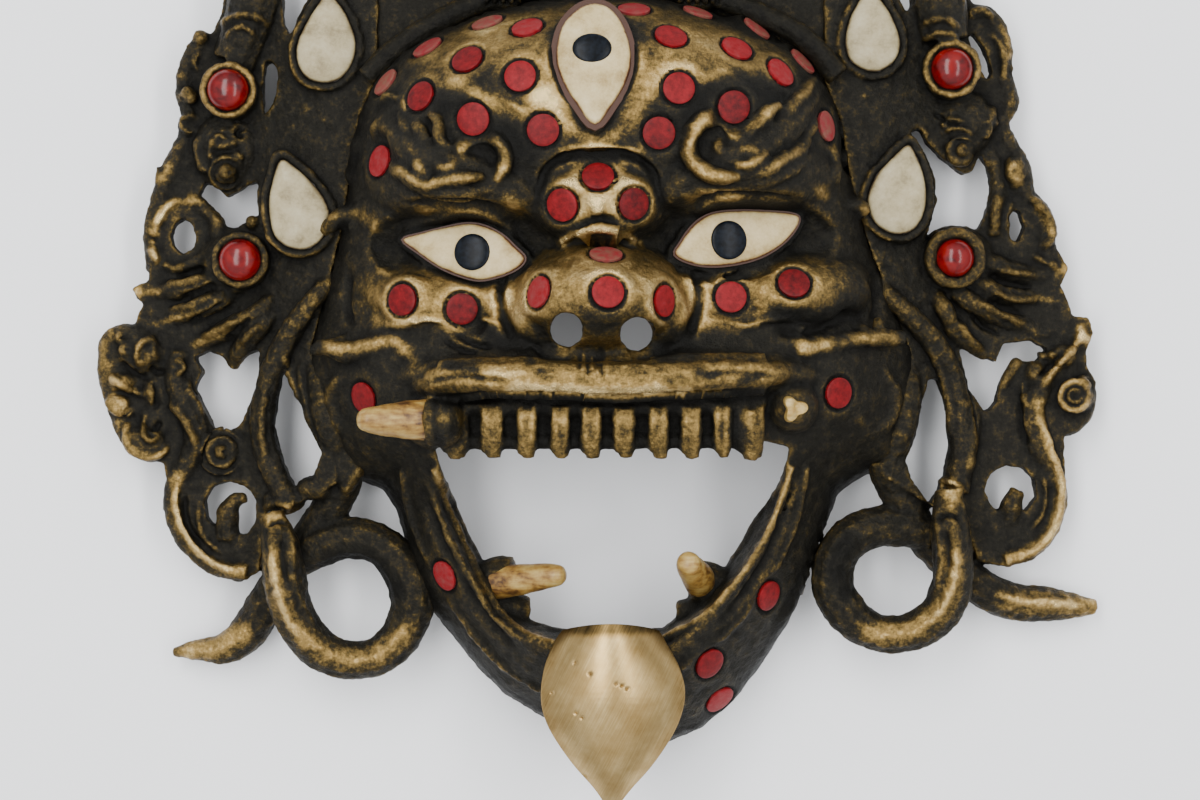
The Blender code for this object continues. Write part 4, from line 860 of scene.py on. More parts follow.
# Ridges raised and grooves pressed into the face, as (route, reach, lift).
FACE_STROKES = [
    ([(376, 322), (400, 326), (430, 318), (458, 324), (486, 320), (512, 330)], 6, 5),
    ([(452, 330), (470, 342), (496, 348)], 5, -6), ([(440, 338), (462, 350), (480, 352)], 5, -5),
    ([(700, 322), (724, 318), (748, 326), (772, 318), (800, 322)], 6, 4),
    ([(716, 312), (740, 306), (764, 312)], 5, -5),
    ([(770, 330), (800, 334), (836, 322), (856, 306)], 7, -6),
    ([(690, 268), (720, 280), (760, 272), (800, 264)], 6, -4),
    ([(508, 262), (500, 290), (504, 320), (516, 344)], 8, -7),
    ([(690, 262), (700, 290), (696, 320), (684, 342)], 8, -7),
    ([(530, 345), (548, 354), (580, 357)], 6, -5), ([(628, 357), (660, 352), (682, 342)], 6, -5),
    ([(602, 344), (601, 362), (603, 380)], 5, -4), ([(420, 384), (450, 376), (480, 378), (520, 384)], 6, -4),
    ([(700, 374), (740, 372), (780, 376)], 6, -3), ([(580, 351), (579, 372)], 3, -3),
    ([(588, 351), (588, 376)], 3, -3),
    ([(596, 352), (596, 372)], 3, -3),
    ([(430, 401), (500, 397), (600, 400), (700, 397), (766, 393)], 7, -11),
    ([(538, 196), (544, 172), (564, 158), (598, 153), (634, 158), (654, 174), (660, 196)], 7, -9),
    ([(556, 232), (590, 220), (620, 221), (644, 232)], 6, -6), ([(596, 196), (600, 216)], 12, 5),
    ([(396, 206), (430, 204), (470, 205), (516, 214)], 8, -8),
    ([(684, 210), (720, 198), (770, 198), (810, 202)], 8, -8),
    ([(828, 104), (833, 130), (834, 160), (838, 200)], 5, 6), ([(842, 110), (846, 140), (848, 180)], 6, -8),
    ([(420, 480), (436, 530), (460, 580), (490, 624), (530, 660)], 7, -6),
    ([(790, 490), (776, 540), (748, 590), (712, 632)], 7, -6),
    ([(386, 500), (396, 540), (420, 590), (450, 636)], 6, 4),
    ([(832, 500), (818, 548), (796, 596), (770, 640)], 6, 4),
    ([(340, 372), (330, 400), (344, 440)], 8, 5), ([(880, 360), (896, 400), (880, 440)], 8, 5),
    ([(352, 268), (346, 300), (352, 330)], 7, -6), ([(868, 262), (878, 300), (872, 326)], 7, -6),
    ([(360, 130), (352, 160), (350, 190)], 6, 5), ([(500, 90), (516, 108), (540, 112), (560, 100)], 7, 3),
]
# What has been rubbed bright or has stayed dark on the face, as (route, reach, amount).
FACE_GOLD = [
    ([(508, 262), (500, 290), (504, 320), (516, 344)], 10, -0.3),
    ([(690, 262), (700, 290), (696, 320), (684, 342)], 10, -0.3),
    ([(440, 60), (480, 44), (520, 50), (546, 70), (556, 100)], 44, 0.32),
    ([(480, 30), (540, 20), (600, 8), (660, 16), (720, 40)], 26, 0.25),
    ([(640, 70), (680, 52), (730, 56), (770, 64)], 38, 0.3),
    ([(455, 84), (480, 94), (500, 106), (520, 112), (538, 100)], 15, 0.34),
    ([(540, 90), (556, 108), (570, 126), (596, 140), (616, 134), (636, 108), (652, 88),
      (672, 68)], 16, 0.36),
    ([(688, 66), (704, 78), (722, 72)], 12, 0.3), ([(436, 100), (452, 106), (462, 100)], 16, -0.3),
    ([(490, 130), (506, 140), (530, 150)], 26, -0.3),
    ([(690, 110), (710, 92), (750, 86), (780, 92)], 18, -0.28),
    ([(664, 120), (676, 128)], 16, -0.25),
    ([(560, 200), (575, 182), (598, 172), (622, 182), (640, 204), (600, 204), (566, 206)], 24, 0.6),
    ([(562, 150), (598, 146), (638, 151)], 6, 0.3),
    ([(562, 241), (590, 231), (620, 233), (640, 243)], 9, 0.45),
    ([(540, 200), (545, 172), (565, 156), (600, 152), (635, 156), (655, 174), (661, 200)], 8, -0.35),
    ([(516, 302), (545, 275), (600, 262), (655, 275), (690, 300)], 42, 0.36),
    ([(560, 300), (600, 276), (650, 300)], 34, 0.22),
    ([(570, 350), (600, 345), (636, 350)], 22, 0.25), ([(650, 306), (664, 328)], 8, 0.4),
    ([(486, 330), (500, 342), (530, 350)], 16, -0.35), ([(660, 352), (690, 350)], 12, -0.4),
    ([(384, 296), (420, 290), (470, 298), (512, 308)], 44, 0.36),
    ([(380, 320), (420, 322), (460, 328)], 12, 0.25),
    ([(700, 298), (740, 292), (790, 280), (818, 284)], 40, 0.34),
    ([(700, 324), (740, 326), (760, 318)], 14, 0.2),
    ([(780, 318), (820, 322), (850, 308)], 18, -0.25),
    ([(500, 372), (600, 376), (690, 372), (770, 370)], 32, 0.24),
    ([(520, 386), (600, 388), (660, 386)], 12, 0.16), ([(700, 372), (712, 376)], 8, -0.3),
    ([(404, 320), (440, 318), (470, 324)], 16, 0.14),
    ([(742, 380), (756, 378)], 7, -0.35), ([(448, 366), (474, 370)], 8, -0.35),
    ([(540, 372), (548, 378)], 5, -0.3),
    ([(430, 376), (480, 374), (510, 374)], 26, 0.24),
    ([(510, 391), (560, 390), (610, 394), (690, 390)], 9, 0.35),
    ([(434, 401), (500, 398), (600, 401), (700, 398), (766, 394)], 8, -0.5),
    ([(440, 418), (500, 417), (600, 418), (700, 416), (760, 412)], 12, 0.14),
    ([(462, 150), (472, 137), (496, 140), (505, 158), (498, 178)], 9, 0.34),
    ([(400, 170), (420, 184), (440, 181), (466, 178)], 9, 0.26),
    ([(410, 144), (420, 168), (426, 176)], 7, 0.2),
    ([(446, 168), (440, 166)], 8, 0.25),
    ([(735, 134), (722, 117), (704, 120), (690, 141), (692, 160), (708, 173), (736, 176)], 11, 0.3),
    ([(748, 127), (765, 114), (780, 105)], 8, 0.3), ([(800, 96), (812, 84)], 9, 0.2),
    ([(745, 147), (756, 151)], 8, 0.3),
    ([(738, 166), (760, 159), (767, 153)], 7, 0.25), ([(766, 170), (799, 151)], 7, 0.2),
    ([(420, 212), (460, 207), (505, 208)], 12, 0.2),
    ([(512, 204), (520, 214)], 12, 0.25), ([(692, 200), (712, 194), (736, 196)], 12, 0.28),
    ([(404, 104), (406, 106)], 7, 0.6),
    ([(330, 347), (372, 345), (398, 342), (412, 360)], 11, 0.32), ([(804, 348), (826, 346)], 12, 0.42),
    ([(850, 340), (900, 338)], 9, 0.2),
    ([(822, 190), (824, 196)], 10, 0.5), ([(862, 210), (866, 212)], 10, 0.5),
    ([(832, 106), (834, 158)], 4, 0.3),
    ([(336, 216), (366, 216), (376, 230)], 10, 0.28),
    ([(434, 470), (466, 549), (504, 616), (556, 642)], 5, 0.3),
    ([(792, 468), (768, 527), (734, 580), (700, 614), (663, 634)], 5, 0.3),
    ([(803, 469), (776, 553), (730, 620)], 6, 0.06),
    ([(402, 470), (432, 568), (500, 664)], 7, 0.05), ([(470, 665), (500, 700)], 20, 0.12),
    ([(320, 380), (330, 430)], 20, 0.06),
    ([(446, 404), (452, 421), (446, 438)], 14, -0.35), ([(426, 398), (434, 398), (440, 406)], 4, 0.5),
    ([(845, 590), (800, 640)], 16, -0.1),
]

# The unevenness of the cast face, as (size of its lumps, depth, seed) in metres.
FACE_UNEVEN = [(0.006, 0.0004, 1), (0.0022, 0.00022, 5)]

face = fused("face", [shell(), ropes("face_carving", face_routes()), setting_blocks("eye_blocks", "eye"),
                      add_object("lumps", mesh_from("lumps", face_lumps))], FACE_GRAIN)
skin = Skin(face, FACE_RUB)
for route, reach, lift in FACE_STROKES:
    skin.stroke(route, reach, lift)
skin.look()
for size, depth, seed in FACE_UNEVEN:
    skin.roughen(size, depth, seed)
for name in EYES:
    press_setting(skin, SEATS[name][0])
for _, _, seat in disc_seats():
    press_seat(skin, seat)
skin.look()
for route, reach, amount in FACE_GOLD:
    skin.gild(route, reach, amount)
skin.gild(FACE_OUTLINE + FACE_OUTLINE[:1], 14, -0.3)
for (u, _), (next_u, _) in zip(TEETH, TEETH[1:]):
    skin.gild([((u + next_u) / 2, 410), ((u + next_u) / 2, 450)], 9, -0.35)
for u, width in TEETH:
    for turn in (-1, 1):
        skin.gild([(u + turn * (width / 2 - 3), 410), (u + turn * (width / 2 - 4), 448)], 5, 0.14)
    skin.gild([(u, 414), (u, 456)], width * 0.6, 0.12)
finish_casting(face, skin, brass)


# Sides: the openwork on each side of the face, cast in one with it: a pole, stems and scrolls over a flat
# back plate, feathers round the lower cabochon, and a snake that ends in an open ring and a tail.
SIDE_GRAIN = 0.00065
SIDE_RUB = 0.032
SIDE_UNEVEN = [(0.004, 0.00035, 0), (0.0020, 0.00022, 5)]
RISE = 42
RISE_FROM, RISE_TO = 400, 250
BEND_STEP, BENDS = 22, 20
LEFT_SIDE = {
    "pole": [(256, -150, 44, 6), (256, -118, 46, 20), (256, -84, 48, 13), (255, -50, 48, 26),
             (255, 0, 48, 29), (246, 34, 48, 26), (236, 62, 48, 24)],
    "outer_stem": [(204, 40, 44, 9), (189, 62, 44, 9), (184, 92, 44, 9), (190, 116, 44, 10),
                   (183, 142, 44, 8),
                   (170, 172, 44, 11), (160, 198, 44, 9), (153, 232, 44, 10), (156, 270, 42, 10)],
    "inner_loop": [(188, 198, 46, 8), (206, 210, 46, 8), (218, 230, 46, 9), (206, 256, 46, 9),
                   (180, 268, 44, 8)],
    "feather_1": [(137, 294, 38, 6), (160, 292, 46, 9), (185, 289, 52, 10), (212, 279, 54, 9),
                  (236, 268, 34, 7)],
    "feather_2": [(146, 330, 36, 6), (175, 318, 46, 9), (215, 302, 56, 11), (240, 288, 36, 8)],
    "feather_3": [(190, 347, 42, 7), (206, 340, 48, 9), (232, 327, 54, 11), (256, 314, 58, 10),
                  (280, 292, 34, 7)],
    "feather_4": [(232, 366, 42, 7), (242, 348, 50, 10), (258, 328, 56, 10), (284, 306, 34, 7)],
    "scroll_back": [(168, 348, 42, 8), (144, 336, 44, 10), (112, 338, 42, 10), (106, 362, 42, 9),
                    (111, 390, 42, 10), (120, 416, 42, 11), (136, 442, 42, 12), (160, 450, 44, 10),
                    (160, 424, 42, 7)],
    "scroll_belly": [(180, 352, 44, 11), (177, 378, 46, 12), (186, 405, 48, 14), (197, 434, 48, 14),
                     (190, 460, 46, 12), (176, 484, 44, 11), (173, 508, 44, 10), (182, 534, 44, 10),
                     (198, 554, 44, 10), (220, 568, 46, 10), (248, 572, 48, 9)],
    "strap": [(340, 272, 30, 6), (322, 290, 50, 9), (304, 312, 56, 11), (281, 350, 54, 12),
              (266, 390, 50, 12), (262, 425, 50, 13), (270, 462, 50, 13), (292, 506, 44, 12)],
    "web": [(312, 346, 26, 8), (322, 384, 44, 15), (331, 424, 44, 17), (342, 470, 26, 12)],
    "hook": [(228, 538, 42, 12), (228, 514, 46, 12), (236, 500, 46, 8), (246, 497, 44, 5)],
}
LEFT_SNAKE = {
    "tail": [(346, 466, 70, 18), (340, 490, 58, 20), (315, 530, 46, 19), (280, 580, 38, 19),
             (262, 610, 34, 20),
             (245, 635, 30, 20), (225, 648, 28, 17), (200, 650, 24, 12), (173, 652, 22, 5)],
    "ring": [(272, 513, 78, 12), (280, 545, 84, 20), (285, 580, 80, 23), (292, 610, 72, 22),
             (310, 640, 66, 22),
             (335, 657, 62, 21), (362, 660, 60, 20), (390, 648, 60, 21), (408, 620, 62, 22),
             (413, 595, 64, 24),
             (403, 568, 64, 23), (383, 547, 62, 21), (355, 538, 58, 22), (325, 545, 54, 22),
             (298, 562, 50, 17)],
}
RIGHT_SIDE = {
    "pole": [(938, -150, 44, 6), (938, -118, 46, 20), (938, -84, 48, 13), (938, -50, 48, 26),
             (938, 0, 48, 30), (943, 40, 48, 27)],
    "hook_over": [(968, 14, 44, 9), (984, 14, 44, 9), (998, 28, 44, 9), (1004, 48, 44, 9), (1004, 78, 44, 9),
                  (1010, 104, 44, 9), (1002, 122, 44, 8), (1010, 146, 44, 9), (1022, 170, 44, 10),
                  (1026, 192, 44, 9), (1043, 216, 44, 10), (1046, 242, 44, 10), (1050, 262, 42, 9)],
    "inner_stem": [(986, 116, 44, 8), (990, 150, 44, 8), (998, 182, 46, 10), (997, 206, 46, 10),
                   (994, 236, 46, 9)],
    "feather_1": [(962, 262, 34, 7), (985, 262, 54, 9), (1005, 268, 50, 10), (1036, 275, 46, 9),
                  (1064, 268, 38, 7)],
    "feather_2": [(958, 276, 34, 7), (980, 284, 54, 10), (1005, 294, 50, 10), (1030, 298, 46, 9),
                  (1056, 300, 38, 6)],
    "feather_3": [(940, 280, 34, 7), (965, 298, 56, 10), (990, 312, 52, 11), (1020, 324, 46, 10),
                  (1050, 334, 42, 9), (1080, 328, 38, 8)],
    "feather_4": [(930, 288, 34, 7), (944, 308, 56, 9), (956, 332, 50, 9), (986, 356, 42, 7)],
    "scroll": [(1080, 326, 42, 10), (1072, 350, 42, 10), (1050, 374, 44, 10), (1036, 396, 48, 13),
               (1031, 420, 48, 14), (1038, 446, 46, 12), (1052, 470, 44, 10), (1058, 496, 44, 10),
               (1052, 522, 44, 10), (1036, 546, 46, 10), (1004, 560, 48, 9)],
    "scroll_curl": [(1070, 372, 42, 8), (1085, 384, 42, 9), (1087, 404, 42, 9), (1076, 423, 42, 9),
                    (1058, 432, 42, 8)],
    "strap": [(872, 278, 30, 6), (890, 296, 50, 9), (908, 314, 56, 11), (936, 345, 54, 12),
              (951, 375, 50, 12), (959, 410, 50, 13), (962, 450, 50, 13), (957, 492, 50, 13)],
    "web": [(906, 350, 26, 8), (908, 390, 44, 14), (900, 430, 44, 17), (884, 472, 26, 12)],
    "hook": [(1008, 524, 42, 10), (1011, 506, 46, 12), (1018, 490, 46, 8)],
}
RIGHT_SNAKE = {
    "tail": [(882, 456, 70, 17), (889, 474, 62, 19), (902, 500, 52, 19), (932, 546, 42, 19),
             (965, 575, 38, 19),
             (985, 590, 34, 20), (1015, 602, 28, 20), (1045, 604, 26, 19), (1075, 606, 24, 13),
             (1096, 607, 22, 7)],
    "ring": [(948, 490, 78, 14), (950, 530, 84, 20), (953, 565, 80, 21), (948, 598, 72, 22),
             (930, 622, 66, 21),
             (900, 634, 62, 20), (870, 630, 60, 20), (845, 610, 62, 22), (832, 580, 64, 22),
             (840, 550, 64, 22), (865, 530, 60, 22), (900, 527, 54, 21), (930, 536, 50, 17)],
}

LEFT_PLATE = [
    (384, -60), (352, -46), (331, -24), (316, -2), (302, 22), (294, 42), (287, 26), (284, -30), (228, -30),
    (223, 15), (214, 34), (200, 36), (188, 46), (181, 66), (183, 90), (186, 112), (178, 124), (183, 140),
    (180, 158), (172, 166), (157, 168), (156, 184), (160, 196), (151, 218), (146, 245), (151, 268),
    (150, 281),
    (134, 289), (144, 305), (134, 330), (112, 328), (103, 344), (108, 372), (110, 400), (120, 420),
    (126, 444),
    (142, 458), (166, 463), (168, 480), (166, 505), (176, 534), (196, 560), (214, 572), (240, 582),
    (262, 570),
    (270, 504), (300, 504), (342, 482), (336, 452), (325, 420), (313, 385), (317, 345), (329, 300),
    (345, 240), (355, 180), (364, 122), (381, 84),
]
LEFT_HOLES = [
    [(206, 183), (217, 186), (228, 198), (246, 188), (261, 182), (259, 200), (262, 223), (250, 222),
     (236, 229), (222, 227), (208, 208), (199, 202)],
    [(268, 64), (275, 64), (281, 74), (280, 97), (275, 110), (266, 117), (265, 92)],
    [(185, 219), (194, 225), (198, 238), (193, 250), (184, 255), (175, 248), (172, 236), (177, 224)],
    [(196, 357), (210, 351), (224, 357), (233, 366), (246, 356), (262, 350), (261, 380), (250, 408),
     (243, 424), (226, 433), (214, 427), (204, 406), (196, 388), (204, 372)],
    [(288, 366), (281, 392), (276, 428), (281, 445), (292, 475), (305, 497), (313, 488), (326, 452),
     (310, 420), (297, 384)],
    [(206, 500), (214, 486), (232, 481), (250, 487), (259, 500), (258, 520), (250, 532), (236, 536),
     (220, 530), (208, 518)],
]
RIGHT_PLATE = [
    (820, -60), (846, -48), (866, -30), (882, -12), (895, 4), (903, 18), (909, 8), (910, -30), (967, -30),
    (970, 4), (990, 8), (1004, 26), (1008, 48), (1012, 70), (1006, 86), (1018, 103), (1006, 118),
    (1008, 130),
    (1016, 146), (1030, 172), (1030, 190), (1052, 218), (1054, 250), (1068, 268), (1059, 286), (1066, 300),
    (1070, 316), (1088, 318), (1092, 334), (1084, 352), (1086, 368), (1094, 382), (1089, 410), (1080, 424),
    (1062, 438), (1064, 470), (1066, 506), (1050, 540), (1036, 553), (1000, 566), (975, 560), (962, 520),
    (930, 506), (884, 478), (892, 460), (901, 436), (910, 400), (905, 350), (885, 300), (861, 240),
    (845, 180), (835, 122), (820, 88),
]
RIGHT_HOLES = [
    [(966, 38), (972, 34), (984, 52), (991, 74), (986, 82), (977, 68)],
    [(932, 97), (958, 99), (971, 94), (971, 102), (957, 114), (938, 116)],
    [(906, 135), (916, 131), (924, 146), (944, 163), (962, 175), (971, 172), (979, 154), (986, 168),
     (991, 190),
     (985, 213), (977, 230), (950, 229), (928, 241), (918, 249), (928, 225), (934, 203), (932, 182),
     (924, 158)],
    [(1010, 210), (1018, 212), (1023, 227), (1017, 242), (1010, 241), (1006, 226)],
    [(941, 315), (958, 336), (985, 359), (995, 362), (1002, 344), (1030, 340), (1046, 350), (1034, 362),
     (1016, 362), (998, 386), (995, 402), (984, 413), (967, 388), (960, 358), (948, 331)],
    [(926, 379), (935, 379), (945, 410), (948, 450), (940, 484), (927, 503), (906, 476), (902, 460),
     (912, 436), (919, 400)],
    [(983, 490), (990, 473), (1005, 465), (1022, 468), (1033, 480), (1035, 497), (1026, 510), (1008, 514),
     (992, 508)],
]
PLATE_BACK, PLATE_FRONT = 28, 50


def side_rise(off_middle):
    """How much the side plates rise towards the face, by the distance from the middle line."""
    return RISE * float(smooth_step((RISE_FROM - abs(off_middle)) / (RISE_FROM - RISE_TO)))


def with_rise(route):
    return [(u, v, h + side_rise(u - GRID_MIDDLE[0]), radius) for u, v, h, radius in route]


def plate(name, outline, holes, low, high, bend=True):
    """A flat openwork plate between two heights, raised towards the face where it bends."""
    curve = bpy.data.curves.new(name, "CURVE")
    curve.dimensions = "2D"
    curve.fill_mode = "BOTH"
    curve.extrude = (high - low) / 2 * GRID
    middle = (low + high) / 2
    for ring in [outline] + holes:
        spline = curve.splines.new("POLY")
        spline.points.add(len(ring) - 1)
        for point, (u, v) in zip(spline.points, ring):
            point.co = (*at(u, v, middle).xy, 0, 1)
        spline.use_cyclic_u = True
    item = add_object(name, curve)
    item.location.z = middle * GRID
    item = baked(item)
    bm = bmesh.new()
    bm.from_mesh(item.data)
    bmesh.ops.remove_doubles(bm, verts=bm.verts, dist=1e-6)
    if bend:
        for step in range(-BENDS, BENDS + 1):
            bmesh.ops.bisect_plane(bm, geom=bm.verts[:] + bm.edges[:] + bm.faces[:],
                                   plane_co=(EYE.x + step * BEND_STEP * GRID, 0, 0), plane_no=(1, 0, 0))
        for vertex in bm.verts:
            vertex.co.z += side_rise((vertex.co.x - EYE.x) / GRID) * GRID
    bmesh.ops.recalc_face_normals(bm, faces=bm.faces)
    bm.to_mesh(item.data)
    bm.free()
    return item


RING_SIDES = 10


def ring_route(u, v, radius):
    ring = circle(u, v, radius, RING_SIDES)
    return ring + ring[:1]


# Strokes as (route, reach, lift) in grid units: ridges are raised and grooves are pressed in.
LEFT_STROKES = [
    ([(219, 32), (228, 20), (244, 14), (260, 19), (270, 30)], 6, 5),
    ([(222, 46), (232, 31), (244, 27), (260, 40)], 5, 4),
    ([(202, 50), (196, 58), (195, 66), (201, 73)], 5, 4), ([(183, 88), (189, 95), (195, 103)], 8, 6),
    (ring_route(190, 124, 8), 5, 5), ([(199, 133), (198, 150), (202, 165), (210, 173)], 5, 5),
    ([(215, 137), (211, 149), (212, 161)], 5, 5), ([(213, 137), (220, 136), (227, 141)], 4, 4),
    (ring_route(227, 172, 15), 5, 5), (ring_route(227, 172, 3), 6, 6), (ring_route(241, 132, 3), 5, -7),
    ([(205, 148), (218, 152), (232, 150), (246, 144)], 6, -5), ([(232, 138), (236, 152), (246, 160)], 5, 4),
    ([(185, 196), (170, 205), (160, 218), (155, 230)], 8, 5), ([(146, 238), (153, 238), (160, 240)], 4, -6),
    ([(150, 246), (154, 255), (160, 264)], 7, 5), ([(160, 262), (173, 268), (187, 268)], 6, 5),
    ([(163, 285), (185, 283), (210, 274)], 5, 5), ([(163, 312), (190, 306), (214, 294)], 5, 5),
    ([(200, 338), (220, 330), (240, 318)], 5, 5), ([(240, 346), (250, 334), (262, 322)], 5, 5),
    ([(180, 299), (200, 291), (218, 283)], 5, -6), ([(185, 325), (206, 315), (226, 303)], 5, -6),
    ([(224, 340), (240, 328), (252, 316)], 5, -6), ([(172, 274), (190, 273), (206, 266)], 4, -5),
    (ring_route(121, 338, 2), 6, 6), (ring_route(126, 350, 2), 6, 5),
    ([(160, 350), (150, 341), (140, 346), (137, 357), (142, 368)], 6, 7),
    ([(175, 358), (183, 366), (176, 378)], 5, 5),
    ([(107, 374), (120, 384), (134, 391), (147, 396)], 6, 6),
    ([(190, 372), (188, 390), (197, 403), (205, 420)], 5, 4),
    ([(113, 392), (110, 403), (118, 412), (128, 414), (138, 407)], 6, 6),
    ([(137, 424), (127, 428), (128, 441), (138, 452), (152, 456), (164, 451), (169, 441)], 6, 7),
    ([(147, 408), (144, 424), (144, 435), (151, 441), (160, 436)], 5, 6),
    ([(163, 400), (175, 407), (185, 420), (193, 434), (196, 448), (190, 472)], 6, 6),
    ([(155, 380), (158, 395), (155, 412)], 5, -6), ([(150, 366), (156, 372), (166, 372)], 5, -6),
    ([(120, 360), (132, 372), (150, 380)], 4, -5), ([(152, 425), (156, 428), (162, 420)], 5, -6),
    (ring_route(222, 452, 13), 4, 5), (ring_route(222, 452, 21), 4, 5), (ring_route(222, 452, 2), 7, 6),
    ([(178, 478), (175, 500), (179, 520), (189, 540), (203, 556), (222, 567), (242, 571)], 6, 6),
    ([(199, 500), (199, 524), (207, 541), (227, 556)], 4, 4),
    ([(186, 490), (185, 512), (192, 532), (208, 548)], 4, -6),
    ([(273, 516), (272, 540), (273, 570), (280, 600), (294, 628), (318, 650)], 7, 3),
    ([(290, 520), (292, 548), (294, 578), (302, 604), (316, 624)], 6, 3),
    ([(283, 530), (283, 560), (288, 592)], 5, -4),
    ([(262, 512), (272, 504), (286, 505), (294, 512)], 6, 4), ([(266, 527), (278, 521), (290, 524)], 4, -4),
    ([(300, 405), (290, 380), (283, 350)], 6, 4), ([(268, 380), (262, 410), (262, 440), (268, 468)], 6, 4),
    ([(300, 362), (302, 384), (308, 408), (312, 430)], 7, 4), ([(340, 500), (352, 480), (366, 462)], 9, 4),
]
RIGHT_STROKES = [
    ([(985, 116), (988, 129), (982, 141)], 5, 5), ([(993, 104), (991, 116), (997, 131)], 5, 5),
    (ring_route(962, 150, 12), 5, 5), (ring_route(962, 150, 2), 6, 6),
    ([(940, 128), (950, 120), (966, 122)], 5, 5),
    ([(932, 110), (946, 122), (962, 126)], 4, -5), ([(945, 135), (952, 128), (966, 130), (974, 138)], 4, 4),
    ([(1014, 158), (1010, 172), (1018, 186)], 8, 5), ([(998, 190), (996, 212), (994, 236)], 8, 4),
    ([(1026, 194), (1040, 205), (1050, 222), (1050, 241), (1034, 249)], 6, 6),
    ([(1014, 200), (1006, 216), (1006, 234)], 5, 4), ([(1030, 252), (1044, 262), (1060, 268)], 6, 5),
    ([(984, 32), (998, 40), (1004, 60), (1004, 84)], 6, 4), ([(972, 12), (984, 10), (996, 20)], 5, 4),
    ([(918, 30), (932, 20), (948, 20), (962, 32)], 6, 5),
    ([(920, 42), (934, 34), (950, 34), (960, 42)], 5, 4),
    ([(995, 268), (1015, 272), (1040, 276)], 5, 5), ([(990, 288), (1010, 298), (1040, 300)], 5, 5),
    ([(978, 302), (1000, 314), (1030, 328)], 5, 5), ([(956, 318), (968, 338), (984, 352)], 5, 5),
    ([(992, 278), (1012, 284), (1034, 288)], 4, -6), ([(984, 298), (1004, 308), (1026, 314)], 4, -6),
    ([(968, 312), (984, 328), (1004, 336)], 4, -6), (ring_route(1085, 382, 3), 7, 6),
    ([(1080, 338), (1070, 352), (1052, 372), (1040, 394)], 6, 5),
    ([(1064, 350), (1052, 364), (1036, 380)], 4, -5),
    (ring_route(1075, 396, 13), 5, 6), (ring_route(1075, 396, 6), 4, 5),
    ([(1028, 350), (1014, 366), (1000, 392)], 6, 5),
    ([(1020, 400), (1020, 425), (1028, 448)], 5, -5), ([(1030, 352), (1046, 356), (1058, 352)], 5, 4),
    ([(1040, 402), (1042, 424), (1050, 450), (1060, 478), (1060, 506), (1052, 530), (1036, 550),
      (1010, 562)], 6, 6),
    ([(1040, 470), (1046, 492), (1042, 514), (1028, 534)], 4, 4),
    ([(1022, 376), (1024, 396), (1030, 412)], 6, 4),
    ([(951, 492), (952, 516), (956, 548), (955, 580), (944, 606), (922, 626)], 7, 3),
    ([(936, 500), (938, 528), (941, 556), (938, 584), (926, 604)], 6, 3),
    ([(945, 524), (948, 552), (946, 584)], 5, -4),
    ([(934, 490), (944, 481), (958, 486), (964, 498)], 6, 4), ([(934, 519), (948, 515), (962, 520)], 4, -5),
    ([(925, 340), (940, 372), (950, 410), (950, 448)], 6, 4),
    ([(968, 392), (976, 420), (972, 452), (966, 480)], 7, 4),
    ([(985, 590), (1020, 600), (1060, 603), (1088, 605)], 8, 3),
]
# What has been rubbed bright or has stayed dark, as (route, reach, amount).
LEFT_GOLD = [
    ([(168, 168), (160, 180)], 8, 0.28), ([(166, 205), (158, 222), (154, 236)], 9, 0.4),
    ([(152, 248), (160, 262)], 8, 0.4),
    ([(137, 292), (156, 292)], 8, 0.3), ([(150, 325), (190, 314)], 7, 0.25),
    ([(190, 346), (226, 332)], 7, 0.25),
    ([(140, 346), (142, 360)], 9, 0.3), ([(112, 376), (134, 386)], 9, 0.25),
    ([(115, 396), (126, 410)], 9, 0.3),
    ([(178, 478), (177, 510), (190, 542), (222, 567), (240, 570)], 12, 0.35),
    ([(190, 651), (215, 646), (240, 634)], 20, 0.38),
    ([(273, 560), (280, 600), (300, 634), (335, 656), (375, 655), (405, 632)], 18, 0.35),
    ([(270, 520), (290, 512)], 14, 0.3),
    ([(112, 340), (108, 370), (118, 410), (136, 446), (160, 452)], 20, 0.2),
    ([(190, 200), (165, 215)], 14, 0.3),
    ([(330, 560), (370, 560), (395, 590)], 16, -0.3), ([(300, 470), (280, 440), (280, 400)], 24, -0.2),
]
RIGHT_GOLD = [
    (ring_route(1075, 396, 14), 6, 0.3), ([(1064, 268), (1056, 274)], 9, 0.3),
    ([(1080, 330), (1086, 340)], 9, 0.3),
    ([(1004, 30), (1010, 56)], 7, 0.25), ([(1016, 166), (1020, 184)], 9, 0.3),
    ([(1036, 210), (1050, 232)], 8, 0.25),
    ([(1056, 300), (1040, 298)], 7, 0.2), ([(948, 468), (950, 500)], 16, 0.12),
    ([(1098, 607), (1086, 606)], 6, -0.2),
    ([(1040, 404), (1050, 450), (1060, 490), (1050, 534), (1010, 562)], 14, 0.35),
    ([(1010, 602), (1050, 603), (1090, 606)], 20, 0.36),
    ([(955, 560), (946, 600), (910, 630), (870, 632)], 18, 0.4),
    ([(948, 486), (956, 500)], 14, 0.35), ([(1084, 330), (1072, 352), (1048, 376)], 14, 0.25),
    ([(845, 590), (836, 565), (850, 540)], 16, -0.3), ([(940, 440), (930, 480)], 24, -0.2),
]
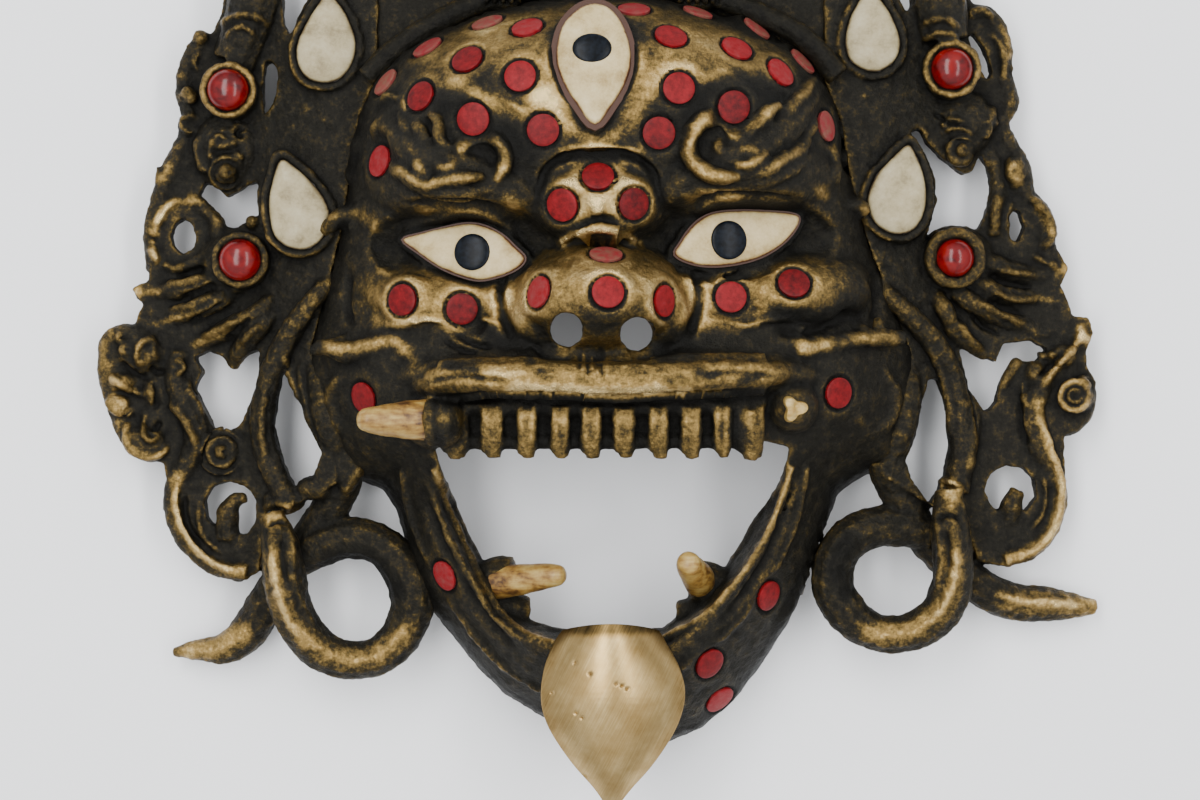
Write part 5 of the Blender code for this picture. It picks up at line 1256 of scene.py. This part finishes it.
SIDE_LUMPS = {
    "left": [(150, 354, 50, (13, 12, 14)), (122, 382, 48, (14, 10, 12)), (121, 404, 48, (12, 10, 12)),
             (146, 440, 48, (22, 15, 13)), (284, 500, 60, (22, 15, 16)), (316, 488, 72, (20, 13, 16)),
             (346, 464, 74, (20, 28, 16)), (154, 392, 46, (12, 16, 12)), (228, 150, 46, (36, 40, 26)),
             (227, 172, 64, (12, 12, 12)), (222, 452, 50, (20, 20, 14)),
             (142, 352, 44, (26, 24, 18)), (240, 264, 44, (42, 38, 26)), (200, 38, 52, (8, 8, 8)),
             (189, 96, 50, (10, 10, 8)), (236, 286, 62, (7, 7, 6)), (252, 222, 60, (7, 7, 8))],
    "right": [(1076, 396, 48, (17, 20, 14)), (1062, 356, 48, (15, 12, 12)), (1034, 374, 48, (11, 14, 12)),
              (1080, 338, 46, (10, 10, 12)), (960, 124, 46, (36, 36, 26)), (960, 150, 60, (14, 14, 12)),
              (955, 262, 44, (42, 38, 26)), (1015, 172, 50, (12, 18, 10)), (938, 236, 62, (7, 7, 7))],
}


BEZEL_OFF, BEZEL_STEPS, BEZEL_RADIUS, BEZEL_RISE = 4, 3, 4.2, 1
BEZEL_SLACK, BEZEL_SIDES, BEZEL_SHARE = 0.5, 24, 0.55


def bezels(name, wanted):
    """Raised lips round the drops and cabochons of one side."""
    routes = []
    for key, outline in DROPS.items():
        if wanted in key:
            grown = grown_outline(outline, BEZEL_OFF)
            ring = [tuple(spot) for spot in rounded(grown + grown[:1], BEZEL_STEPS)[:-1]]
            routes.append([(u, v, DROP_RIM + BEZEL_RISE, BEZEL_RADIUS) for u, v in ring + ring[:1]])
    for key, (u, v, radius, rim) in CABOCHONS.items():
        if wanted in key:
            ring = circle(u, v, (radius + rim) / 2 + BEZEL_SLACK, BEZEL_SIDES)
            thick = (rim - radius) * BEZEL_SHARE
            routes.append([(a, b, GEM_RIM + BEZEL_RISE, thick) for a, b in ring + ring[:1]])
    return ropes(name, routes)


def side(name, routes, snake, outline, holes, strokes, gold, seed):
    def build_lumps(bm):
        for spot in SIDE_LUMPS[name]:
            lump(bm, *spot)

    parts = [ropes("carving", [with_rise(route) for route in routes.values()]),
             ropes("snakes", list(snake.values())),
             plate("plate", outline, holes, PLATE_BACK, PLATE_FRONT),
             add_object("lumps", mesh_from("lumps", build_lumps)),
             setting_blocks("blocks", name + "_"), bezels("bezels", name)]
    item = fused(name + "_side", parts, SIDE_GRAIN)
    worked = Skin(item, SIDE_RUB)
    for route, reach, lift in strokes:
        worked.stroke(route, reach, lift)
    worked.look()
    for size, depth, further in SIDE_UNEVEN:
        worked.roughen(size, depth, seed + further)
    worked.look()
    for route, reach, amount in gold:
        worked.gild(route, reach, amount)
    for key, outline in DROPS.items():
        if name in key:
            worked.gild(outline + outline[:1], 12, -0.3)
            # Painted highlight: a bright line on the left stretch of each drop's bezel, the same side for
            # every drop.
            worked.gild(grown_outline(outline, 7)[6:11], 5, 0.2)
    for key, (u, v, radius, rim) in CABOCHONS.items():
        if name in key:
            worked.gild(ring_route(u, v, (radius + rim) / 2 + 1), 5, 0.14 if "upper" in key else -0.05)
    finish_casting(item, worked, brass)


side("left", LEFT_SIDE, LEFT_SNAKE, LEFT_PLATE, LEFT_HOLES, LEFT_STROKES, LEFT_GOLD, 2)
side("right", RIGHT_SIDE, RIGHT_SNAKE, RIGHT_PLATE, RIGHT_HOLES, RIGHT_STROKES, RIGHT_GOLD, 3)


# Crown: a band of five skulls with a pointed leaf behind each, cast in one with the forehead's edge. The
# leaves carry curls and a spine, and the skulls' sockets, noses and teeth are worked in.
CROWN_LEAVES = 2
LEAF_SPACING, LEAF_SPLAY = 97, 26
LEAF_HALF, LEAF_NARROWING = 52, 3
LEAF_FEET = (-44, -28, -66)
LEAF_TIPS = (-300, -258, -192)
CROWN_BACK, CROWN_FRONT = 58, 84
LEAF_STEPS = 9
LEAF_FRONT = 80
LEAF_FOOT_SHARE, LEAF_BELLY = 0.9, 0.4


def leaf_frame(number):
    """A crown leaf's foot, its tip and its half width. Leaves are numbered from the middle one outwards."""
    foot = Vector((GRID_MIDDLE[0] + LEAF_SPACING * number, LEAF_FEET[abs(number)]))
    tip = Vector((foot.x + LEAF_SPLAY * number, LEAF_TIPS[abs(number)]))
    return foot, tip, LEAF_HALF - LEAF_NARROWING * abs(number)


def leaf_place(number, along, across):
    """The (u, v) of a place on a leaf, along it from foot to tip and across in half widths."""
    foot, tip, half = leaf_frame(number)
    middle = foot.lerp(tip, along)
    return middle.x + across * half, middle.y


def leaf_outline(number):
    rise = [i / LEAF_STEPS for i in range(LEAF_STEPS + 1)]
    width = [(LEAF_FOOT_SHARE + LEAF_BELLY * t) * (1 - t**3) for t in rise]
    right = [leaf_place(number, t, share) for t, share in zip(rise, width)]
    left = [leaf_place(number, t, -share) for t, share in reversed(list(zip(rise, width))[:-1])]
    return right + left


CROWN_BASE = [
    (360, 124), (350, 40), (352, -40), (392, -70), (480, -104), (600, -120), (720, -104), (808, -70),
    (848, -40),
    (850, 40), (846, 128), (836, 118), (820, 88), (792, 56), (750, 31), (700, 15), (650, 3), (600, 0),
    (540, 5), (492, 17), (444, 35), (404, 58), (380, 84), (364, 118),
]


CROWN_BAND = [(366, 78), (400, 46), (442, 20), (492, -2), (545, -15), (600, -20), (655, -17), (708, -6),
              (760, 14), (806, 40), (838, 76)]
BAND_HEIGHT, BAND_RADIUS = 100, 12
# Each leaf's two curls as (along, across), and its spine as (along, radius).
LEAF_CURL = [(0.40, 0.3), (0.46, 0.75), (0.60, 0.8), (0.70, 0.45), (0.62, 0.22)]
LEAF_SPINE = [(0.66, 12), (0.82, 10), (1.0, 4)]
CURL_HEIGHT, CURL_RADIUS, SPINE_HEIGHT = 88, 8, 86
# A skull's dome and jaw, as (down from the leaf's foot, height, radii), and its five teeth.
SKULL_LUMPS = [(-22, 92, (40, 40, 34)), (20, 90, (25, 24, 26))]
SKULL_TEETH, TOOTH_SPACING = 2, 8
CROWN_UNEVEN = (0.004, 0.0003, 4)


def skull_places():
    for number in range(-CROWN_LEAVES, CROWN_LEAVES + 1):
        yield leaf_frame(number)[0]


def crown_routes():
    routes = [[(u, v, BAND_HEIGHT, BAND_RADIUS) for u, v in CROWN_BAND]]
    for number in range(-CROWN_LEAVES, CROWN_LEAVES + 1):
        for side in (-1, 1):
            routes.append([(*leaf_place(number, t, side * s), CURL_HEIGHT, CURL_RADIUS)
                           for t, s in LEAF_CURL])
        routes.append([(*leaf_place(number, t, 0), SPINE_HEIGHT, radius) for t, radius in LEAF_SPINE])
    return routes


def crown_lumps(bm):
    for foot in skull_places():
        for down, height, radii in SKULL_LUMPS:
            lump(bm, foot.x, foot.y + down, height, radii)


def crown():
    parts = [plate("crown_base", CROWN_BASE, [], CROWN_BACK, CROWN_FRONT, bend=False),
             ropes("crown_carving", crown_routes()),
             add_object("skulls", mesh_from("skulls", crown_lumps))]
    for number in range(-CROWN_LEAVES, CROWN_LEAVES + 1):
        parts.append(plate("leaf", leaf_outline(number), [], CROWN_BACK, LEAF_FRONT, bend=False))
    item = fused("skull_crown", parts, SIDE_GRAIN)
    worked = Skin(item, SIDE_RUB)
    for foot in skull_places():
        u, v = foot
        for turn in (-1, 1):
            worked.stroke([(u + 15 * turn, v - 22), (u + 15 * turn, v - 18)], 13, -16, 0)
            worked.stroke([(u + 26 * turn, v - 38), (u + 14 * turn, v - 36), (u + 3 * turn, v - 30)], 5, 4)
        worked.stroke([(u, v - 4), (u, v + 4)], 7, -10, 0)
        for tooth in range(-SKULL_TEETH, SKULL_TEETH + 1):
            here = u + TOOTH_SPACING * tooth
            gap = here + TOOTH_SPACING / 2
            worked.stroke([(here, v + 18), (here, v + 32)], 4, 5)
            worked.stroke([(gap, v + 18), (gap, v + 34)], 3, -5)
    worked.look()
    worked.gild(CROWN_BAND, 14, -0.25)
    worked.roughen(*CROWN_UNEVEN)
    finish_casting(item, worked, brass)


crown()


# Discs: round coral plugs about 9 mm across, let into the metal and rubbed flush, where the frame has them.
# Coral is opaque with fine pale growth lines and a waxy polish. Dust dulls some discs at random, and
# a paler brown is painted on as sheen on the discs that lean away.
DISC_PROUD = 0.0002
DISC_CROWN = 0.0004
DISC_ROOT = 0.001
DISC_SIDES, DISC_RINGS = 40, 4
DISC_UNEVEN = (-0.03, 0.02)
DUST_UNEVEN = (-0.1, 0.12)
SHEEN_LEAN, SHEEN_GAIN = 0.8, 1.1
SHARP_ANGLE = math.radians(50)
coral, tree, shader, place = new_material("coral", roughness=0.5, specular_ior_level=0.16)
dust_and_sheen = add_node(tree, "ShaderNodeAttribute", attribute_name="dust_and_sheen").outputs["Fac"]
veins = add_node(tree, "ShaderNodeTexNoise",
                 {"Vector": place, "Scale": 500.0, "Detail": 6.0, "Roughness": 0.65})
veined_dust_and_sheen = add_node(tree, "ShaderNodeMath", {0: veins.outputs["Fac"], 1: 0.8, 2: dust_and_sheen},
                 operation="MULTIPLY_ADD")
colour = add_node(tree, "ShaderNodeValToRGB", {"Fac": veined_dust_and_sheen.outputs["Value"]},
                  [(0.2, "#3A0306"), (0.42, "#60080D"), (0.58, "#760D14"), (0.74, "#74282A"),
                   (0.95, "#69483A")])
scratches = add_node(tree, "ShaderNodeTexNoise", {"Vector": place, "Scale": 1600.0, "Detail": 3.0})
bump = add_node(tree, "ShaderNodeBump",
                {"Height": scratches.outputs["Fac"], "Strength": 0.35, "Distance": 0.0002})
tree.links.new(colour.outputs["Color"], shader.inputs["Base Color"])
tree.links.new(bump.outputs["Normal"], shader.inputs["Normal"])
chance = np.random.default_rng(11)


def mark(mesh, name, values):
    mesh.attributes.new(name, "FLOAT", "POINT").data.foreach_set("value", np.array(values, np.float32))


def finish_inlay(item, finish, nodes):
    item.data.materials.append(finish)
    item.data.shade_smooth()
    item.data.set_sharp_from_angle(angle=SHARP_ANGLE)
    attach(item, "root")
    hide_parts(*nodes)


for region in DISCS:
    dust_and_sheen_levels, nodes = [], []

    def build(bm):
        for seat_region, node, seat in disc_seats():
            if seat_region != region:
                continue
            ring = circle(0, 0, 1 + chance.uniform(*DISC_UNEVEN), DISC_SIDES)
            seat.ring = [(a * DISC_RADIUS, b * DISC_RADIUS) for a, b in ring]
            before = len(bm.verts)
            seat_block(bm, seat, 0, -DISC_ROOT, DISC_PROUD, DISC_CROWN, DISC_RINGS)
            # Random dust, plus painted sheen that grows as the disc leans away from facing up.
            dust_and_sheen = chance.uniform(*DUST_UNEVEN) + SHEEN_GAIN * max(0, SHEEN_LEAN - seat.normal.z)
            dust_and_sheen_levels.extend([dust_and_sheen] * (len(bm.verts) - before))
            nodes.append(node)

    discs = add_object("discs_" + region, mesh_from("discs_" + region, build))
    mark(discs.data, "dust_and_sheen", dust_and_sheen_levels)
    finish_inlay(discs, coral, nodes)


# Cabochons: four domes of polished coral in raised bezels on the openwork. The polish is glossy, and the
# red is deeper than that of the dusty discs.
GEM_CROWN, GEM_ROOT, GEM_RINGS = 0.0046, 0.004, 9
INLAY_PROUD = 0.0004
polished, tree, shader, place = new_material("polished_coral", roughness=0.2, specular_ior_level=0.3)
veins = add_node(tree, "ShaderNodeTexNoise",
                 {"Vector": place, "Scale": 260.0, "Detail": 5.0, "Distortion": 0.6})
colour = add_node(tree, "ShaderNodeValToRGB", {"Fac": veins.outputs["Fac"]},
                  [(0.3, "#3E0305"), (0.5, "#5E0609"), (0.72, "#740F0C")])
tree.links.new(colour.outputs["Color"], shader.inputs["Base Color"])
for name in CABOCHONS:
    def build(bm):
        seat_block(bm, SEATS[name][0], 0, -GEM_ROOT, INLAY_PROUD, GEM_CROWN, GEM_RINGS)

    gem = add_object(name + "_dome", mesh_from(name, build))
    finish_inlay(gem, polished, [name])


# Eyes, drops and pupils: flat inlays of bone with crowned faces and dark glass pupils. Bone is a warm white
# with fine grey pores, brown where the pitch that holds it has stained its edge.
EYE_CROWN, DROP_CROWN, INLAY_ROOT, INLAY_RINGS = 0.0022, 0.0026, 0.003, 8
PUPIL_CROWN, PUPIL_ROOT, PUPIL_SIDES, PUPIL_RINGS = 0.0009, 0.0008, 40, 6
PITCH_ROOT, PITCH_PROUD = 0.002, 0.0002
PITCH_FROM, PITCH_TONE = 0.0002, 2.0
STAIN_TONE, STAIN_WIDTH = 0.8, 0.0009
PITCH_WIDTHS = {"eye_third": 0.0016, "eye": 0.0005, "drop": 0.0005}


def bone_material(name, stops, pore_scale):
    made, tree, shader, place = new_material(name, roughness=0.46, specular_ior_level=0.3)
    edge = add_node(tree, "ShaderNodeAttribute", attribute_name="edge").outputs["Fac"]
    cloud = add_node(tree, "ShaderNodeTexNoise", {"Vector": place, "Scale": 160.0, "Detail": 4.0})
    pores = add_node(tree, "ShaderNodeTexNoise",
                     {"Vector": place, "Scale": pore_scale, "Detail": 5.0, "Roughness": 0.75})
    mixed = add_node(tree, "ShaderNodeMath", {0: pores.outputs["Fac"], 1: 0.6, 2: cloud.outputs["Fac"]},
                     operation="MULTIPLY_ADD")
    stained = add_node(tree, "ShaderNodeMath", {0: edge, 1: 0.7, 2: mixed.outputs["Value"]},
                       operation="MULTIPLY_ADD")
    level = add_node(tree, "ShaderNodeMapRange",
                     {"Value": stained.outputs["Value"], "From Min": 0.5, "From Max": 1.5})
    colour = add_node(tree, "ShaderNodeValToRGB", {"Fac": level.outputs["Result"]}, stops)
    bump = add_node(tree, "ShaderNodeBump",
                    {"Height": pores.outputs["Fac"], "Strength": 0.3, "Distance": 0.0003})
    tree.links.new(colour.outputs["Color"], shader.inputs["Base Color"])
    tree.links.new(bump.outputs["Normal"], shader.inputs["Normal"])
    return made


EYE_TONES = [(0.0, "#C2B189"), (0.3, "#B09D70"), (0.55, "#927C4F"), (0.75, "#5A3A22"), (1.0, "#3A2012")]
DROP_TONES = [(0.0, "#A69C80"), (0.3, "#948969"), (0.55, "#75694B"), (0.75, "#51442F"), (1.0, "#1C1510")]
eye_bone = bone_material("polished_bone", EYE_TONES, 1200.0)
drop_bone = bone_material("weathered_bone", DROP_TONES, 900.0)
glass, tree, shader, place = new_material("dark_glass", roughness=0.3, specular_ior_level=0.1)
clouds = add_node(tree, "ShaderNodeTexNoise", {"Vector": place, "Scale": 700.0, "Detail": 3.0})
colour = add_node(tree, "ShaderNodeValToRGB", {"Fac": clouds.outputs["Fac"]},
                  [(0.35, "#05070A"), (0.65, "#10151C")])
tree.links.new(colour.outputs["Color"], shader.inputs["Base Color"])

for name in list(EYES) + list(DROPS):
    seat = SEATS[name][0]
    crown_height = EYE_CROWN if name in EYES else DROP_CROWN

    def build(bm):
        pitch = PITCH_WIDTHS.get(name, PITCH_WIDTHS[name[:name.index("_")]])
        seat_block(bm, seat, pitch, -PITCH_ROOT, PITCH_PROUD)
        seat_block(bm, seat, 0, -INLAY_ROOT, INLAY_PROUD, crown_height, INLAY_RINGS)

    inlay = add_object(name + "_inlay", mesh_from(name, build))
    off = [(vertex.co - seat.middle) for vertex in inlay.data.vertices]
    flat = [(spot.dot(seat.across), spot.dot(seat.up)) for spot in off]
    inner = signed_distance(*np.array(flat).T, seat.ring)
    stain = np.clip(STAIN_TONE - inner / STAIN_WIDTH, 0, STAIN_TONE)
    mark(inlay.data, "edge", np.where(inner < -PITCH_FROM, PITCH_TONE, stain))
    finish_inlay(inlay, eye_bone if name in EYES else drop_bone, [name])

for name, (u, v, across, down) in PUPILS.items():
    node = name.replace("eye", "pupil")
    low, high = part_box(node)
    seat = Seat((Vector(low) + Vector(high)) / 2, SEATS[name][0].normal)
    seat.ring = [(a * across * GRID, b * down * GRID) for a, b in circle(0, 0, 1, PUPIL_SIDES)]

    def build(bm):
        seat_block(bm, seat, 0, -PUPIL_ROOT, INLAY_PROUD, PUPIL_CROWN, PUPIL_RINGS)

    pupil = add_object(node + "_dome", mesh_from(node, build))
    finish_inlay(pupil, glass, [node])


# Fangs: four tusks carved from bone and set in bored sockets. They are stained brown and finely cracked
# along their length. The upper right one is broken off, and its stump shows pale and three-cornered.
FANGS = {
    "fang_upper_left": ((433, 420, 185), (357, 420, 214), 21, 10, 6),
    "fang_upper_right_stub": ((793, 408, 182), (795, 409, 210), 13, 9, 26),
    "fang_lower_left": ((508, 581, 112), (565, 574, 140), 17, 10, 18),
    "fang_lower_right": ((700, 581, 112), (686, 560, 168), 17, 11, 18),
}
FANG_SEGMENTS, FANG_RINGS = 36, 40
FANG_UNEVEN, FANG_GRAIN, FANG_GRAIN_ALONG = 0.00025, 300, 6
BREAK_CORNERS, BREAK_CORNER, CORNER_REACH = 3, math.radians(250), 0.3
BREAK_LOSS, BREAK_SLOPE, BREAK_JAG, BREAK_GRAIN, BREAK_SHARE = 2, 16, 6, 500, 0.7
ROOT_AGE, AGE_FALL = 0.22, 0.2
FANG_SHAPE = [(0.0, 0.0, 0.0), (0.06, 0.75, 0.0), (0.12, 1.0, 0.02), (0.70, 1.0, 0.72), (0.80, 1.0, 0.86),
              (0.87, 0.93, 0.93), (0.94, 0.7, 0.98), (1.0, 0.0, 1.0)]
fang_bone, tree, shader, place = new_material("stained_bone", roughness=0.4, specular_ior_level=0.4)
age = add_node(tree, "ShaderNodeAttribute", attribute_name="age").outputs["Fac"]
cloud = add_node(tree, "ShaderNodeTexNoise",
                 {"Vector": place, "Scale": 220.0, "Detail": 5.0, "Roughness": 0.6})
grain = add_node(tree, "ShaderNodeMapping", {"Vector": place, "Scale": (140.0, 900.0, 500.0)})
cracks = add_node(tree, "ShaderNodeTexNoise",
                  {"Vector": grain.outputs["Vector"], "Scale": 1.0, "Detail": 4.0})
stain = add_node(tree, "ShaderNodeMath", {0: cloud.outputs["Fac"], 1: 0.8, 2: age}, operation="MULTIPLY_ADD")
stain = add_node(tree, "ShaderNodeMath", {0: cracks.outputs["Fac"], 1: 0.5, 2: stain.outputs["Value"]},
                 operation="MULTIPLY_ADD")
colour = add_node(tree, "ShaderNodeValToRGB", {"Fac": stain.outputs["Value"]},
                  [(0.40, "#B8A26E"), (0.62, "#9E8448"), (0.80, "#80602C"), (0.92, "#503518"),
                   (1.0, "#2C1B0C")])
bump = add_node(tree, "ShaderNodeBump",
                {"Height": cracks.outputs["Fac"], "Strength": 0.4, "Distance": 0.0004})
tree.links.new(colour.outputs["Color"], shader.inputs["Base Color"])
tree.links.new(bump.outputs["Normal"], shader.inputs["Normal"])

for name, (base, tip, wide, narrow, depth) in FANGS.items():
    foot, end = at(*base), at(*tip)
    axis = (end - foot).normalized()
    root = foot - axis * depth * GRID
    turn = axis.to_track_quat("Z", "Y").to_matrix()
    length = (end - root).length
    broken = name.endswith("stub")
    shares = []

    def build(bm):
        bmesh.ops.create_uvsphere(bm, u_segments=FANG_SEGMENTS, v_segments=FANG_RINGS, radius=1)
        for vertex in bm.verts:
            polar = 1 - math.acos(max(-1, min(1, vertex.co.z))) / math.pi
            places, girths, heights = zip(*FANG_SHAPE)
            girth, along = np.interp(polar, places, girths), np.interp(polar, places, heights)
            spread = vertex.co.xy.normalized() * girth * (wide + (narrow - wide) * along**1.6) * GRID
            grain = Vector((spread.x * FANG_GRAIN, spread.y * FANG_GRAIN, along * FANG_GRAIN_ALONG))
            rough = FANG_UNEVEN * noise.noise(grain)
            if broken:
                corner = math.cos(BREAK_CORNERS * (math.atan2(spread.y, spread.x) - BREAK_CORNER))
                spread *= 1 + CORNER_REACH * corner
            outward = Vector((spread.x, spread.y, 0))
            spot = outward + Vector((0, 0, along * length)) + outward.normalized() * rough
            if broken:
                slope = BREAK_SLOPE * (0.5 + spread.x / (2 * wide * GRID))
                jag = BREAK_JAG * noise.noise(Vector((spread.x * BREAK_GRAIN, spread.y * BREAK_GRAIN, 3)))
                spot.z = min(spot.z, length - (BREAK_LOSS + slope + jag) * GRID * BREAK_SHARE)
            vertex.co = root + turn @ spot
            shares.append(along)

    fang = add_object(name + "_tusk", mesh_from(name, build))
    mark(fang.data, "age", [(0.0 if broken else ROOT_AGE - AGE_FALL * share) for share in shares])
    finish_inlay(fang, fang_bone, [name])


# Tongue: a pointed shield of brass sheet about 3 mm thick, hammered to a curve and let in over the chin. It
# is brushed bright along slanting strokes and has a few small pits. Its colour is made darker at its top
# edge, and painted shade darkens its sides where the sheet curves away.
TONGUE_LEFT = [(0.0, 562), (0.08, 553), (0.22, 544), (0.4, 541), (0.56, 549), (0.75, 571), (0.9, 594),
               (1.0, 606)]
TONGUE_RIGHT = [(0.0, 659), (0.08, 667), (0.22, 680), (0.38, 685), (0.56, 676), (0.75, 655), (0.9, 632),
                (1.0, 618)]
TONGUE_SPAN = (630, 806)
TONGUE_SPINE = [(0.0, 207), (0.12, 213), (0.26, 216), (0.42, 214), (0.6, 204), (0.8, 186), (1.0, 160)]
TONGUE_ARCH = 36
TONGUE_MIDDLE = 612
TONGUE_BEVEL = 0.0006
DARK_TOP, SIDE_SHADE_FROM, SIDE_SHADE_TONE = 0.055, 0.78, 0.35
TONGUE_THICKNESS = 0.0030
TONGUE_ACROSS, TONGUE_DOWN = 110, 150
PIT_DEPTH, PIT_RADIUS = 3, 2.4
TONGUE_PITS = [(575, 663), (590, 674), (552, 693), (576, 713), (582, 718), (586, 775), (622, 686),
               (616, 684), (627, 689)]
BRUSH_STROKE = (0.012, 0.00035, 0.012)
brushed, tree, shader, place = new_material("brushed_brass", metallic=1.0)
lines = add_node(tree, "ShaderNodeMapping",
                 {"Vector": place, "Rotation": (0, 0, math.radians(64)), "Scale": BRUSH_STROKE},
                 vector_type="TEXTURE")
strokes = add_node(tree, "ShaderNodeTexNoise",
                   {"Vector": lines.outputs["Vector"], "Scale": 1.0, "Detail": 4.0})
cloud = add_node(tree, "ShaderNodeTexNoise",
                 {"Vector": place, "Scale": 90.0, "Detail": 5.0, "Roughness": 0.6})
dark_top_and_side_shade = add_node(tree, "ShaderNodeAttribute", attribute_name="dark_top_and_side_shade").outputs["Fac"]
mixed = add_node(tree, "ShaderNodeMath", {0: strokes.outputs["Fac"], 1: 0.5, 2: cloud.outputs["Fac"]},
                 operation="MULTIPLY_ADD")
mixed = add_node(tree, "ShaderNodeMath", {0: dark_top_and_side_shade, 1: -0.6, 2: mixed.outputs["Value"]},
                 operation="MULTIPLY_ADD")
colour = add_node(tree, "ShaderNodeValToRGB", {"Fac": mixed.outputs["Value"]},
                  [(0.0, "#2C2518"), (0.30, "#6B5733"), (0.50, "#937849"), (0.75, "#AA9060"),
                   (1.0, "#C4AB7A")])
gloss = add_node(tree, "ShaderNodeMapRange",
                 {"Value": strokes.outputs["Fac"], "To Min": 0.3, "To Max": 0.46})
bump = add_node(tree, "ShaderNodeBump",
                {"Height": strokes.outputs["Fac"], "Strength": 0.25, "Distance": 0.0001})
tree.links.new(colour.outputs["Color"], shader.inputs["Base Color"])
tree.links.new(gloss.outputs["Result"], shader.inputs["Roughness"])
tree.links.new(bump.outputs["Normal"], shader.inputs["Normal"])


def tongue_sheet(bm):
    left_edge, right_edge, spine = (rounded(line).T for line in (TONGUE_LEFT, TONGUE_RIGHT, TONGUE_SPINE))
    bmesh.ops.create_grid(bm, x_segments=TONGUE_ACROSS, y_segments=TONGUE_DOWN, size=1)
    for vertex in bm.verts:
        s, t = vertex.co.x, (1 - vertex.co.y) / 2
        left, right = np.interp(t, *left_edge), np.interp(t, *right_edge)
        u = left + (right - left) * (s + 1) / 2
        v = TONGUE_SPAN[0] + (TONGUE_SPAN[1] - TONGUE_SPAN[0]) * t - 6 * (1 - s * s) * (1 - t) ** 6
        h = np.interp(t, *spine) - TONGUE_ARCH * s * s * (1 - t**3)
        for pit_u, pit_v in TONGUE_PITS:
            h -= PIT_DEPTH * max(0, 1 - math.hypot(u - pit_u, v - pit_v) / PIT_RADIUS)
        vertex.co = at(u, v, h)


tongue = add_object("tongue_shield", mesh_from("tongue", tongue_sheet))
if tongue.data.polygons[0].normal.z < 0:
    tongue.data.flip_normals()
add_modifier(tongue, "SOLIDIFY", thickness=TONGUE_THICKNESS, offset=-1)
tongue = baked(tongue)
add_modifier(tongue, "BEVEL", width=TONGUE_BEVEL, segments=2, limit_method="ANGLE", angle_limit=SHARP_ANGLE)
tongue = baked(tongue)
top_edge = at(GRID_MIDDLE[0], TONGUE_SPAN[0], TONGUE_SPINE[0][1]).y
shares = [(top_edge - vertex.co.y) / (top_edge - at(0, TONGUE_SPAN[1], TONGUE_SPINE[-1][1]).y)
          for vertex in tongue.data.vertices]
half_widths = [(np.interp(share, *zip(*TONGUE_RIGHT)) - np.interp(share, *zip(*TONGUE_LEFT))) / 2
               for share in shares]
middle = at(TONGUE_MIDDLE, TONGUE_SPAN[0], TONGUE_SPINE[0][1]).x
sideways = [abs(vertex.co.x - middle) / (half * GRID)
            for vertex, half in zip(tongue.data.vertices, half_widths)]
# The top edge is made darker, and painted shade darkens the curved sides.
top_darkening = smooth_step(1 - np.array(shares) / DARK_TOP)
painted_side_shade = smooth_step((np.array(sideways) - SIDE_SHADE_FROM) / (1 - SIDE_SHADE_FROM))
mark(tongue.data, "dark_top_and_side_shade", top_darkening + SIDE_SHADE_TONE * painted_side_shade)
finish_inlay(tongue, brushed, ["tongue"])
